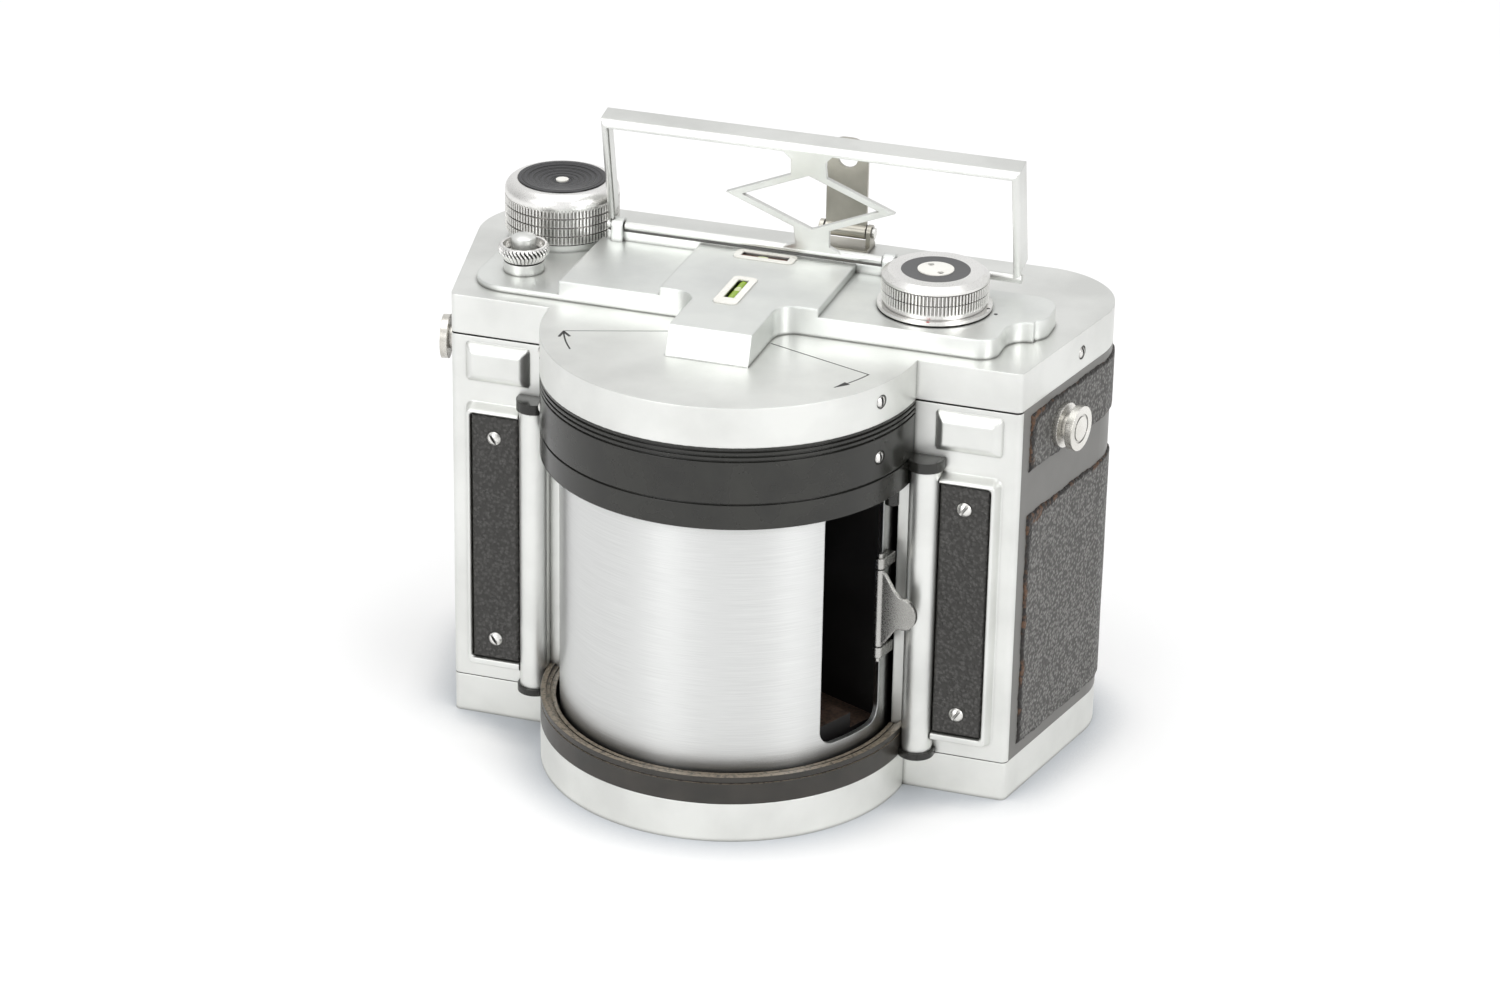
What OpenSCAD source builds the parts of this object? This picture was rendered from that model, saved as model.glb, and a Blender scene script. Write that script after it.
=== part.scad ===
// Swing-lens panoramic camera for 120 roll film.
// Millimetres, Z up. The drum turns about the Z axis, the base stands on Z = 0
// and the front of the camera faces -Y.

/* [Body plan] */
// Step in from the film track to the round front of base and top cover
front_step = 9; // [8.5:0.1:9.5]
// Room beside the film track for a guide roller and the side wall
side_room = 13.7; // [13.4:0.1:15]
// Front face, measured forward of the drum axis
front_out = 1.3; // [0.8:0.1:2]
// Outward lean of the side walls towards the rear, degrees
flare = 12.4; // [8:0.1:14]
// Room behind the film track for the film and the back
back_room = 9; // [8.5:0.1:12]
// Radius of the two rear corners, which wrap the film spools
rear_corner_r = 18.5; // [17.5:0.5:19.5]
// Radius of the two front corners
front_corner_r = 1.4; // [0.6:0.1:2]
// Wall of the painted body
wall = 2; // [1.6:0.1:2.4]

/* [Heights] */
// Height of the base casting
base_h = 9; // [8:0.1:11]
// Height of the painted body between base and top cover
body_h = 82.6; // [82:0.1:88]
// Height of the top cover
cover_h = 8.8; // [7.5:0.1:11]
// Floor of the base casting
base_floor = 3; // [2:0.1:4]
// Rim of the base casting round its pocket
base_rim = 3; // [2.5:0.1:4]
// Plate that closes the body under the top cover
top_t = 2; // [1.5:0.1:3]
// Wall and roof of the top cover
cover_wall = 2; // [1.5:0.1:3]

/* [Drum and lens] */
// Step in from the round front to the lens drum
drum_step = 4.2; // [4:0.1:5]
// Wall of the lens drum
drum_wall = 1.2; // [1:0.1:1.6]
// Gap between the drum and the base below it
drum_foot_gap = 1.2; // [0.6:0.1:2]
// Gap between the drum and the top plate above it
drum_head_gap = 1; // [0.6:0.1:2]
// Drop of the lens axis below the middle of the body
lens_drop = 4.6; // [4:0.1:5.5]
// Bearing of the drum window at rest, degrees to the right of straight ahead
window_angle = 65.3; // [60:0.1:66]
// Width of the drum window
window_w = 18.6; // [16:0.1:19]
// Height of the body that the drum window leaves closed
window_rest = 26.8; // [25.5:0.1:30]
// Corner radius of the drum window
window_corner = 3.5; // [1:0.1:5]
// Outer radius of the lens barrel
barrel_r = 9.3; // [8:0.1:9.6]
// Radius of the film track, equal to the focal length
film_r = 50; // [49.5:0.1:50.4]
// Height of the exposed picture
frame_h = 50; // [46:0.5:52]

/* [Front rings] */
// Height of the lower black ring
low_ring_h = 6.4; // [5:0.1:7]
// Height of the upper black ring
top_ring_h = 18.4; // [16:0.1:19]
// Running gap between a ring and the drum
ring_gap = 0.8; // [0.5:0.1:1.2]

/* [Front panels] */
// Thickness of a front panel
panel_t = 1.5; // [1.2:0.1:2]
// Height that the leather frame stands out of a panel
frame_rise = 2.7; // [2:0.1:3.2]
// Width of the leather strip in a panel
strip_w = 11.2; // [10:0.1:11.4]
// Height of the body that the leather strip leaves bare
strip_rest = 23.5; // [23:0.1:30]
// Thickness of every leather piece
leather_t = 0.6; // [0.4:0.1:0.8]
// Radius of the half-round columns beside the drum
column_r = 3.4; // [3:0.1:3.6]
// Diameter of the slotted screw heads
screw_d = 3.3; // [2.6:0.1:3.6]

/* [Top] */
// Height of the low plate under the release
low_plate_h = 1.3; // [1:0.1:2]
// Height of the broad plate that carries the speed knob
plate_h = 4.5; // [4:0.1:5]
// Height of the T-shaped level housing
level_h = 6.35; // [6:0.05:6.6]
// Half the width of the level housing across its bar
level_half = 17.7; // [15:0.1:19]
// Half the width of the level housing's stem
stem_half = 9.1; // [8:0.1:10]
// Front edge of the plates, behind the drum axis
plate_front = 3.1; // [2.5:0.1:3.6]
// Rear edge of the plates, behind the drum axis
plate_rear = 31; // [30.5:0.1:31.5]

/* [Knobs] */
// Radius of the film wind knob
wind_r = 12.7; // [11.5:0.1:12.9]
// Height of the film wind knob
wind_h = 11.4; // [10:0.1:13]
// Ribs round the film wind knob
wind_ribs = 96; // [60:4:120]
// Radius of the speed knob
speed_r = 11.5; // [10.5:0.05:11.6]
// Height of the speed knob over its flange
speed_h = 7.3; // [6.5:0.1:8]
// Ribs round the speed knob
speed_ribs = 90; // [60:4:110]
// Radius of the release button
button_r = 2.7; // [2.2:0.1:3]
// Travel of the release button
button_travel = 2.2; // [1.5:0.1:2.4]

/* [Finder] */
// Gap between the wind knob and the finder frame's left end
finder_gap = 0.5; // [0.4:0.1:1.5]
// Right end of the finder frame
finder_right = 54.5; // [53.6:0.1:56]
// Height of the finder frame over its hinge
finder_h = 26.6; // [26.5:0.1:27.2]
// Forward lean of the finder frame at rest, degrees
finder_lean = 12; // [0:1:15]
// Width of the frame's front border
finder_border = 1.6; // [1.2:0.1:1.7]
// Depth of the frame's turned-back edge
finder_depth = 5.8; // [3:0.1:6]
// Sheet thickness of the finder frame
finder_t = 0.9; // [0.7:0.1:1.1]
// Sideways place of the diamond and of the rear sight
sight_x = 7.9; // [5:0.1:10]
// Gap between the folded rear sight and the finder rail
sight_gap = 0.4; // [0.3:0.1:4]
// Width of the rear sight blade
sight_w = 9.4; // [8:0.1:12]

/* [Film and back] */
// Step in from the side of the front face to a spool's axis
spool_side = 11.2; // [10.8:0.1:11.6]
// Step in from the rear face to a spool's axis
spool_back = 21.5; // [20.5:0.1:22]
// Radius of a 120 spool flange
spool_flange_r = 12.6; // [12:0.1:12.7]
// Length of a 120 spool over its flanges
spool_len = 65.8; // [64:0.1:66]
// Radius of a film guide roller
roller_r = 4; // [3:0.1:4.5]
// Radius of the tripod socket
tripod_r = 3.2; // [3:0.05:5]

/* [Clearances] */
// Gap between bodies that move past each other
move_gap = 0.3; // [0.25:0.05:0.5]
// Radial clearance of a shaft in its bore
run_gap = 0.06; // [0.03:0.01:0.09]

/* [Hidden] */
// Facets that stand for a true circle
$fn = 96;
// Overlap that joins solids and clears cuts
eps = 0.01;
// Reach of a cutting block, past every side of the camera
reach = 200;

front_y = -front_out;
disc_r = film_r - front_step;
front_half = film_r + side_room;
rear_y = film_r + back_room;
drum_r = disc_r - drum_step;
body_top = base_h + body_h;
deck_z = body_top + cover_h;
corner_y = rear_y - rear_corner_r;
corner_x = front_half + ((corner_y - front_y) * sin(flare) - rear_corner_r) / cos(flare);
seam_y = corner_y + rear_corner_r * 0.49;
seam_x = corner_x + sqrt(pow(rear_corner_r, 2) - pow(seam_y - corner_y, 2));
shell_front = front_y + panel_t;
chamber_front = shell_front + wall;

lens_z = base_h + body_h / 2 - lens_drop;
window_h = body_h - window_rest;
drum_z0 = base_h + drum_foot_gap;
drum_z1 = body_top - top_t - drum_head_gap;
drum_disc_t = 2;
window_z0 = lens_z - window_h / 2;
ring_in = drum_r + ring_gap;
top_ring_z = body_top - top_ring_h;
peg_angle = 78;
peg_drop = 3.2;
axle_r = 4;
box_half = window_w / 2 + 2.2;
box_t = 1.2;
box_front = sqrt(pow(drum_r - drum_wall - 0.3, 2) - pow(box_half + box_t, 2));
hood_tip = film_r - 2.6;

panel_in = ring_in + move_gap;
panel_gap = [0.2, 0.4];
column_x = disc_r + column_r - 0.4;
column_y = front_y - 1.3;
strip_x = column_x + column_r + strip_w / 2;
foot_cap_h = 1.5;
head_cap_h = 2.3;
strip_h = body_h - strip_rest;
strip_z = base_h + strip_h / 2 + 6.05;
pad_w = 14.6;
pad_h = 8.2;
pad_rise = 2;
pad_x = strip_x - 0.1;
pad_z = body_top - 6.2;
screw_end = 5.25;
screw_dz = strip_h / 2 - screw_end;
cover_screw_d = screw_d * 0.88;
seat_depth = 0.35;

low_plate_z = deck_z + low_plate_h;
plate_z = deck_z + plate_h;
level_z = deck_z + level_h;
stem_front = -17.8;
stem_lean = 2.4;
vial_x = -1.9;
vial_y = 27.4;
vial_r = 1.2;
vial_len = 10.6;
fillet_r = 4.8;
low_plate_left = 1.7 - front_half;
plate_left = 0.4 - disc_r;
plate_right = front_half - 7.4;
lobe_right = front_half - 0.3;
lobe_front = 16;

spool_x = front_half - spool_side;
spool_y = rear_y - spool_back;
wind_x = -spool_x;
wind_y = spool_y;
finder_left = wind_x + wind_r + finder_gap;
wind_boss_h = 2.8;
wind_z = deck_z + wind_boss_h + move_gap;
wind_shaft_r = 3;
speed_x = front_half - 24.8;
speed_y = 18.2;
speed_flange_t = 0.7;
speed_z = plate_z + move_gap;
speed_shaft_r = 2.5;
release_x = wind_x - 0.2;
release_y = wind_y - 23.3;
sleeve_r = 4.4;
sleeve_h = 2.4;
collar_r = 5.6;
collar_h = 3.5;
collar_z = low_plate_z + sleeve_h + move_gap;
button_top = deck_z + 9.8;

hinge_y = 31;
hinge_z = deck_z + 7.9;
hinge_tube_r = 1;
hinge_rod_r = 0.5;
ear_r = 1.7;
ear_w = 2.6;
finder_face = hinge_y - 0.9;
finder_top = hinge_z + finder_h;
rail_rear = 33.4;
rail_top = hinge_z - hinge_tube_r - move_gap;
diamond_z = hinge_z + 12.8;
diamond_half_w = 19;
diamond_half_h = 8.4;
diamond_bar = 1.5;
stem_w = 7;
sight_y = rear_y - 3.6;
sight_len = sight_y - rail_rear - sight_gap;
sight_z = deck_z + 3.9;
sight_pin_r = 0.7;
sight_knuckle_r = 1.6;
sight_ear_t = 1;
sight_hole_z = sight_z + sight_len - 4.6;
sight_hole_r = 2.3;

spool_z0 = lens_z - spool_len / 2;
stud_r = 2.4;
stud_in = 7;
roller_x = film_r + roller_r + 2.4;
roller_y = 8.6;
roller_stud_r = 1.5;
door_gap = 0.3;
door_z0 = base_h + door_gap;
door_z1 = body_top - door_gap;
knuckle_r = 1.7;
door_hinge_x = -(seam_x + 1.3);
knuckle_z = [base_h + 10, base_h + 24, body_top - 24.6, body_top - 10.6];
hinge_pin_r = 0.9;
leather_low = [base_h + 2.4, body_top - 25];
leather_top = [body_top - 15.6, body_top - 1.6];
leather_start = 3.2;
hinge_leaf = 2.2;
leather_end = seam_y - hinge_leaf - move_gap;
latch_x = corner_x - 8;
latch_z = lens_z + 4.3;
latch_w = 8;
latch_h = 13;
latch_travel = 5;
latch_neck = [3, 6];
pane_x = 0;
pane_z = lens_z;
pane_r = 4;
lug_y = 17.2;
lug_z = body_top - 9.2;
tripod_y = 28;
bush_r = 6.5;
bush_h = 8;
tab_angle = 76.2;
tab_pin_r = 0.6;
tab_axis_r = drum_r + 0.8;
tab_z0 = lens_z - 9;
tab_z1 = lens_z + 9;
tab_len = 9.2;
wheel_r = 2.9;
wheel_z = window_z0 + window_h - 1;
wheel_x = -2.4;
wheel_y = drum_r - 6.2;

// Name of the one piece to draw, or all of them

// Half width of the plan at a given depth, for a wall set in by inset
function side_x(y, inset) = front_half + ((y - front_y) * sin(flare) - inset) / cos(flare);

// Outline of a straight-ribbed wheel: four corners for each rib
function rib_points(count, outer, depth) = [
    for (i = [0 : count - 1])
        for (k = [[0, depth], [0.22, 0], [0.56, 0], [0.78, depth]])
            (outer - k[1]) * [cos((i + k[0]) * 360 / count), sin((i + k[0]) * 360 / count)]
];

// Solid on the body's plan: front corners, leaning sides and round rear corners
module plan(z, h, inset) {
    r = rear_corner_r - inset;
    f = front_corner_r;
    fy = front_y + inset + f;
    fx = side_x(fy, inset + f);
    side = [corner_x + r * cos(flare), corner_y - r * sin(flare)];
    translate([0, 0, z]) {
        linear_extrude(h)
            polygon([[-fx, fy - f], [fx, fy - f], [fx + f * cos(flare), fy - f * sin(flare)],
                side, [corner_x, rear_y - inset], [-corner_x, rear_y - inset],
                [-side[0], side[1]], [-fx - f * cos(flare), fy - f * sin(flare)]]);
        for (s = [-1, 1]) {
            translate([s * corner_x, corner_y, 0]) cylinder(h = h, r = r);
            translate([s * fx, fy, 0]) cylinder(h = h, r = f);
        }
    }
}

// Block between two corners
module block(a, b) {
    translate(a) cube(b - a);
}

// Upright plate with round vertical corners
module round_block(a, b, r) {
    block([a[0] + r, a[1], a[2]], [b[0] - r, b[1], b[2]]);
    block([a[0], a[1] + r, a[2]], [b[0], b[1] - r, b[2]]);
    for (x = [a[0] + r, b[0] - r])
        for (y = [a[1] + r, b[1] - r])
            translate([x, y, a[2]]) cylinder(h = b[2] - a[2], r = r);
}

// Everything in front of a plane across the camera
module ahead_of(y) {
    block([-reach, -reach, -eps], [reach, y, reach]);
}

// Everything behind a plane across the camera
module behind(y) {
    block([-reach, y, -eps], [reach, reach, reach]);
}

// Shaft lying along X
module x_rod(x0, x1, r) {
    translate([x0, 0, 0]) rotate([0, 90, 0]) cylinder(h = x1 - x0, r = r);
}

// Shaft lying along -Y, from a start depth towards the front
module y_rod(y0, y1, r) {
    translate([0, y1, 0]) rotate([90, 0, 0]) cylinder(h = y1 - y0, r = r);
}

// Straight-ribbed band
module ribbed(count, r, depth, h) {
    linear_extrude(h) polygon(rib_points(count, r, depth));
}

// Domed slotted screw head facing -Y, with its underside on Y = 0
module slot_head(d) {
    rise = d * 0.24;
    difference() {
        intersection() {
            y_rod(-rise, 0, d / 2);
            translate([0, d * 0.62 - rise, 0]) sphere(r = d * 0.62);
        }
        block([-d * 0.1, -d, -d], [d * 0.1, -rise * 0.25, d]);
    }
}

// Turns local -Y to a bearing, degrees to the right of straight ahead
module bearing(angle) {
    rotate([0, 0, angle]) children();
}

module base_plate() {
    color("#dcdcd8") difference() {
        union() {
            difference() {
                union() {
                    plan(0, base_h, 0);
                    cylinder(h = base_h, r = disc_r);
                }
                plan(base_floor, base_h, base_rim);
            }
            translate([0, 0, base_floor - eps]) cylinder(h = base_h - base_floor + eps, r = axle_r + 5);
            translate([0, tripod_y, base_floor - eps])
                cylinder(h = base_h - base_floor + eps, r = bush_r + 2);
        }
        translate([0, 0, base_floor]) cylinder(h = base_h, r = axle_r + run_gap);
        translate([0, tripod_y, -eps]) cylinder(h = bush_h + eps, r = bush_r);
        for (p = base_screw_places())
            translate([p[0], p[1], -eps]) cylinder(h = 1.2, r = screw_d / 2 + 0.2);
    }
}

function base_screw_places() =
    [for (s = [-1, 1]) for (p = [[film_r - 2, 12], [30, rear_y - 9]]) [s * p[0], p[1]]];

module tripod_bush() {
    color("#b9b6ac") translate([0, tripod_y, 0]) difference() {
        cylinder(h = bush_h, r = bush_r);
        translate([0, 0, -eps]) cylinder(h = bush_h - 0.5, r = tripod_r);
        translate([0, 0, -eps]) cylinder(h = 0.6, r1 = tripod_r + 0.6, r2 = tripod_r);
    }
}

module base_screws() {
    color("#c9c8c4") for (p = base_screw_places())
        translate([p[0], p[1], 1.2 - eps]) rotate([90, 0, 0]) slot_head(screw_d);
}

module body_shell() {
    color("#6f6e6b") difference() {
        union() {
            difference() {
                plan(base_h, body_h, 0);
                intersection() {
                    plan(base_h - eps, body_h + 1, wall);
                    behind(chamber_front);
                }
                ahead_of(shell_front);
                behind(seam_y);
                block([-ring_in, -reach, base_h - eps], [ring_in, chamber_front + eps, body_top - top_t]);
            }
            intersection() {
                plan(body_top - top_t, top_t, wall + move_gap);
                behind(shell_front);
            }
            translate([0, 0, body_top - top_t]) cylinder(h = top_t, r = axle_r + 5);
            for (z = [[knuckle_z[0], knuckle_z[1]], [knuckle_z[2], knuckle_z[3]]]) {
                translate([door_hinge_x, seam_y, z[0]]) cylinder(h = z[1] - z[0], r = knuckle_r);
                block([door_hinge_x, seam_y - hinge_leaf, z[0]], [-seam_x + wall / 2, seam_y - 0.15, z[1]]);
            }
        }
        translate([door_hinge_x, seam_y, knuckle_z[1]])
            cylinder(h = knuckle_z[2] - knuckle_z[1], r = knuckle_r + move_gap);
        translate([door_hinge_x, seam_y, base_h]) cylinder(h = body_h, r = hinge_pin_r);
        translate([0, 0, body_top - reach / 2]) cylinder(h = reach, r = axle_r + run_gap);
        translate([wind_x, wind_y, body_top - top_t - eps])
            cylinder(h = top_t + 1, r = wind_shaft_r + run_gap);
    }
}

module front_panel(side) {
    mirror([side < 0 ? 1 : 0, 0, 0]) color("#dedcd6") {
        intersection() {
            plan(base_h, body_h, 0);
            block([panel_in, -reach, base_h + panel_gap[0]], [reach, shell_front, body_top - panel_gap[1]]);
        }
        difference() {
            leather_frame();
            leather_strip(front_y - reach);
        }
        pad();
    }
}

// Raised border round the leather strip, with a stepped outer edge and round corners
module leather_frame() {
    edge = 1.9;
    foot = 0.8;
    for (step = [[0, foot], [0.6, frame_rise]])
        round_face([column_x + column_r, front_y - step[1], strip_z - strip_h / 2 - edge - foot + step[0]],
            [strip_x + strip_w / 2 + edge - step[0], front_y + eps, strip_z + strip_h / 2 + edge - step[0]],
            edge - step[0]);
}

// Upright plate with round corners seen from the front
module round_face(a, b, r) {
    block([a[0] + r, a[1], a[2]], [b[0] - r, b[1], b[2]]);
    block([a[0], a[1], a[2] + r], [b[0], b[1], b[2] - r]);
    for (x = [a[0] + r, b[0] - r])
        for (z = [a[2] + r, b[2] - r])
            translate([x, 0, z]) y_rod(a[1], b[1], r);
}

// Leather strip of a front panel, or the recess for it, from a given front depth
module leather_strip(y) {
    round_face([strip_x - strip_w / 2, y, strip_z - strip_h / 2],
        [strip_x + strip_w / 2, front_y - frame_rise + leather_t + 0.2, strip_z + strip_h / 2], 0.8);
}

// Pillow-shaped pad: two ridge profiles crossed at right angles
module pad() {
    bevel = 1.5;
    intersection() {
        translate([pad_x, front_y, pad_z - pad_h])
            linear_extrude(2 * pad_h)
                polygon([[-pad_w / 2, eps], [pad_w / 2, eps], [pad_w / 2, -0.5],
                    [pad_w / 2 - bevel, -pad_rise], [bevel - pad_w / 2, -pad_rise], [-pad_w / 2, -0.5]]);
        translate([pad_x - pad_w, front_y, pad_z])
            rotate([90, 0, 90]) linear_extrude(2 * pad_w)
                polygon([[eps, -pad_h / 2], [-0.5, -pad_h / 2], [-pad_rise, bevel - pad_h / 2],
                    [-pad_rise, pad_h / 2 - bevel], [-0.5, pad_h / 2], [eps, pad_h / 2]]);
    }
}

module front_panel_left() {
    front_panel(-1);
}

module front_panel_right() {
    front_panel(1);
}

module front_leather() {
    color("#3f3e3c") for (s = [-1, 1]) mirror([s < 0 ? 1 : 0, 0, 0])
        leather_strip(front_y - frame_rise + 0.2);
}

module front_screws() {
    color("#e4e3df") for (s = [-1, 1])
        for (dz = [-screw_dz, screw_dz])
            translate([s * strip_x, front_y - frame_rise + 0.2, strip_z + dz])
                rotate([0, 35 * s, 0]) slot_head(screw_d);
}

module columns() {
    color("#d8d7d3") for (s = [-1, 1]) mirror([s < 0 ? 1 : 0, 0, 0])
        half_round(column_r, base_h + foot_cap_h, column_top());
}

// Half-round upright against the front face, cut to the round of the rings
module half_round(r, z0, z1) {
    difference() {
        union() {
            translate([column_x, column_y, z0]) cylinder(h = z1 - z0, r = r);
            block([column_x - r, column_y, z0], [column_x + r, front_y, z1]);
        }
        cylinder(h = reach, r = disc_r);
        behind(front_y);
    }
}

function column_top() = strip_z + strip_h / 2 + 2.8;

module column_caps() {
    cap_r = column_r + 0.6;
    color("#2b2a29") for (s = [-1, 1]) mirror([s < 0 ? 1 : 0, 0, 0])
        for (z = [[base_h, base_h + foot_cap_h], [column_top(), column_top() + head_cap_h]]) difference() {
            half_round(cap_r, z[0], z[1]);
            leather_frame();
        }
}

module lower_ring() {
    color("#3a3735") intersection() {
        difference() {
            translate([0, 0, base_h]) cylinder(h = low_ring_h, r = disc_r);
            translate([0, 0, base_h - eps]) cylinder(h = low_ring_h + 1, r = ring_in);
            translate([0, 0, base_h + low_ring_h - 0.7]) cylinder(h = 2, r = disc_r - 1.2);
            translate([0, 0, base_h + low_ring_h - 1]) difference() {
                cylinder(h = 2, r = ring_in + 1.3);
                translate([0, 0, -eps]) cylinder(h = 3, r = ring_in + 0.9);
            }
            translate([0, 0, base_h + low_ring_h - 1.6]) difference() {
                cylinder(h = 0.4, r = disc_r + 1);
                translate([0, 0, -eps]) cylinder(h = 1, r = disc_r - 0.4);
            }
        }
        ahead_of(front_y);
    }
}

module upper_ring() {
    color("#35322f") intersection() {
        difference() {
            translate([0, 0, top_ring_z]) cylinder(h = top_ring_h, r = disc_r);
            translate([0, 0, top_ring_z - eps]) cylinder(h = top_ring_h - 1.5, r = ring_in);
            translate([0, 0, top_ring_z]) cylinder(h = reach, r = axle_r + 5 + move_gap);
            for (z = ring_groove_heights())
                translate([0, 0, z]) difference() {
                    cylinder(h = 0.5, r = disc_r + 1);
                    translate([0, 0, -eps]) cylinder(h = 1, r = disc_r - 0.5);
                }
            cover_screw_seats();
        }
        ahead_of(front_y);
    }
    color("#35322f") bearing(peg_angle) translate([0, -(ring_in + disc_r) / 2, top_ring_z - peg_drop])
        cylinder(h = peg_drop + eps, r = (disc_r - ring_in) / 2 - 0.2);
}

function ring_groove_heights() = [top_ring_z + 5.4, body_top - 3.3, body_top - 2.2, body_top - 1.1];

// Puts a piece that faces -Y at each screw of the top cover and the upper ring, a little below the surface
module cover_screw_places() {
    for (s = [-1, 1]) {
        for (z = [deck_z - 4, top_ring_z + 10.6])
            bearing(s * 67) translate([0, seat_depth - disc_r, z]) children();
        translate([s * side_x(26, seat_depth), 26, deck_z - 4.8]) rotate([0, 0, s * (90 - flare)]) children();
    }
}

// Flat round seats under those screws
module cover_screw_seats() {
    cover_screw_places() y_rod(-cover_screw_d, 0, cover_screw_d / 2 + 0.1);
}

module cover_screws() {
    color("#e2e1dd") cover_screw_places() slot_head(cover_screw_d);
}

module top_cover() {
    color("#dddcd8") difference() {
        union() {
            plan(body_top, cover_h, 0);
            translate([0, 0, body_top]) cylinder(h = cover_h, r = disc_r);
        }
        plan(body_top - eps, cover_h - cover_wall, cover_wall);
        translate([0, 0, body_top - eps]) cylinder(h = cover_h - cover_wall, r = disc_r - cover_wall);
        translate([wind_x, wind_y, body_top]) cylinder(h = reach, r = wind_shaft_r + run_gap);
        translate([speed_x, speed_y, body_top]) cylinder(h = reach, r = speed_shaft_r + run_gap);
        translate([release_x, release_y, body_top]) cylinder(h = reach, r = button_r + move_gap);
        sector_lines();
        cover_screw_seats();
    }
}

// Fine engraved lines of the swing sector on the round front
module sector_lines() {
    line_w = 0.35;
    for (s = [-1, 1])
        bearing(s * 70)
            block([-line_w / 2, -disc_r + 5, deck_z - 0.2], [line_w / 2, -stem_half - 1, deck_z + 1]);
    for (s = [-1, 1])
        intersection() {
            translate([0, 0, deck_z - 0.2]) difference() {
                cylinder(h = 1, r = disc_r - 5);
                translate([0, 0, -eps]) cylinder(h = 2, r = disc_r - 5 - line_w);
            }
            bearing(s * 62) block([-5, -reach, 0], [5, 0, reach]);
        }
}

module deck_casting() {
    color("#dad9d5") difference() {
        union() {
            intersection() {
                round_block([low_plate_left, plate_front, deck_z], [0, 2 * plate_rear, low_plate_z], 8.5);
                ahead_of(plate_rear);
                block([-reach, -reach, 0], [plate_left + 1, reach, reach]);
            }
            translate([wind_x, wind_y, deck_z]) cylinder(h = wind_boss_h, r = wind_r - 0.8);
            block([wind_x - wind_r / 2, plate_rear - 1, deck_z],
                [wind_x + wind_r / 2, wind_y, deck_z + wind_boss_h]);
            broad_plate();
            level_housing();
            finder_rail();
        }
        translate([wind_x, wind_y, deck_z - 1]) cylinder(h = reach, r = wind_shaft_r + run_gap);
        translate([speed_x, speed_y, deck_z - 1]) cylinder(h = reach, r = speed_shaft_r + run_gap);
        translate([release_x, release_y, deck_z - 1]) cylinder(h = reach, r = button_r + move_gap);
        translate([0, 0, level_z - 2 * vial_r - 0.2]) level_slots(0.2, reach);
        translate([0, hinge_y, hinge_z]) x_rod(-reach, reach, hinge_rod_r);
        translate([wind_x, wind_y, deck_z + wind_boss_h]) cylinder(h = reach, r = wind_r + move_gap);
    }
}

// Broad plate with the round lobe at its right end
module broad_plate() {
    bend = 5;
    lobe_r = 5.4;
    difference() {
        union() {
            round_block([plate_left, plate_front, deck_z], [plate_right, plate_rear, plate_z], 4.2);
            block([plate_left, plate_front, deck_z], [0, plate_rear, plate_z]);
            round_block([0, lobe_front, deck_z], [lobe_right, plate_rear, plate_z], lobe_r);
            block([plate_right - 1, lobe_front - bend, deck_z],
                [plate_right + bend, lobe_front + 1, plate_z]);
        }
        translate([plate_right + bend, lobe_front - bend, deck_z - eps]) cylinder(h = plate_h + 1, r = bend);
    }
}

// T-shaped housing over the two levels: bar, leaning stem and the hollow corners between
module level_housing() {
    block([-level_half, plate_front, deck_z], [level_half, plate_rear + eps, level_z]);
    translate([-stem_half, 0, deck_z]) rotate([90, 0, 90]) linear_extrude(2 * stem_half)
        polygon([[stem_front, 0], [plate_front + 1, 0], [plate_front + 1, level_h],
            [stem_front + stem_lean, level_h]]);
    for (s = [-1, 1]) difference() {
        block([min(s * (stem_half - eps), s * (stem_half + fillet_r)), plate_front - fillet_r, deck_z],
            [max(s * (stem_half - eps), s * (stem_half + fillet_r)), plate_front + eps, level_z]);
        translate([s * (stem_half + fillet_r), plate_front - fillet_r, deck_z - eps])
            cylinder(h = level_h + 1, r = fillet_r);
    }
}

// Rail behind the plates, with the two ears that hold the finder's hinge rod
module finder_rail() {
    block([finder_left, plate_rear - 0.6, deck_z], [ear_places()[1] + ear_w, rail_rear, rail_top]);
    for (x = ear_places()) {
        translate([0, hinge_y, hinge_z]) x_rod(x, x + ear_w, ear_r);
        block([x, hinge_y - ear_r, deck_z], [x + ear_w, hinge_y + ear_r, hinge_z]);
    }
}

// Left ends of the two hinge ears: inside the frame's left side, and beside the level housing
function ear_places() = [finder_left + finder_t + move_gap, level_half + 6.1];

// Slot rectangles of the two levels, grown by a border
module level_slots(grow, h) {
    block([vial_x - vial_r - grow, plate_front - 0.9 - grow, 0],
        [vial_x + vial_r + grow, plate_front - 0.9 + vial_len + grow, h]);
    block([vial_x - vial_len / 2 - grow, vial_y - vial_r - grow, 0],
        [vial_x + vial_len / 2 + grow, vial_y + vial_r + grow, h]);
}

module level_bezels() {
    rim = 0.3;
    color("#eceae4") difference() {
        union() {
            round_block([vial_x - 2.7, plate_front - 4, level_z],
                [vial_x + 2.7, plate_front + vial_len + 0.9, level_z + rim], 1.2);
            round_block([vial_x - vial_len / 2 - 1.5, vial_y - 2.4, level_z],
                [vial_x + vial_len / 2 + 1.5, vial_y + 2.4, level_z + rim], 1.2);
        }
        translate([0, 0, level_z - eps]) level_slots(0, 2);
    }
}

module level_vials() {
    color("#9db84a") {
        translate([vial_x, 0, level_z - vial_r - 0.1])
            y_rod(plate_front - 0.9, plate_front - 0.9 + vial_len, vial_r);
        translate([0, vial_y, level_z - vial_r - 0.1])
            x_rod(vial_x - vial_len / 2, vial_x + vial_len / 2, vial_r);
    }
}

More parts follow.
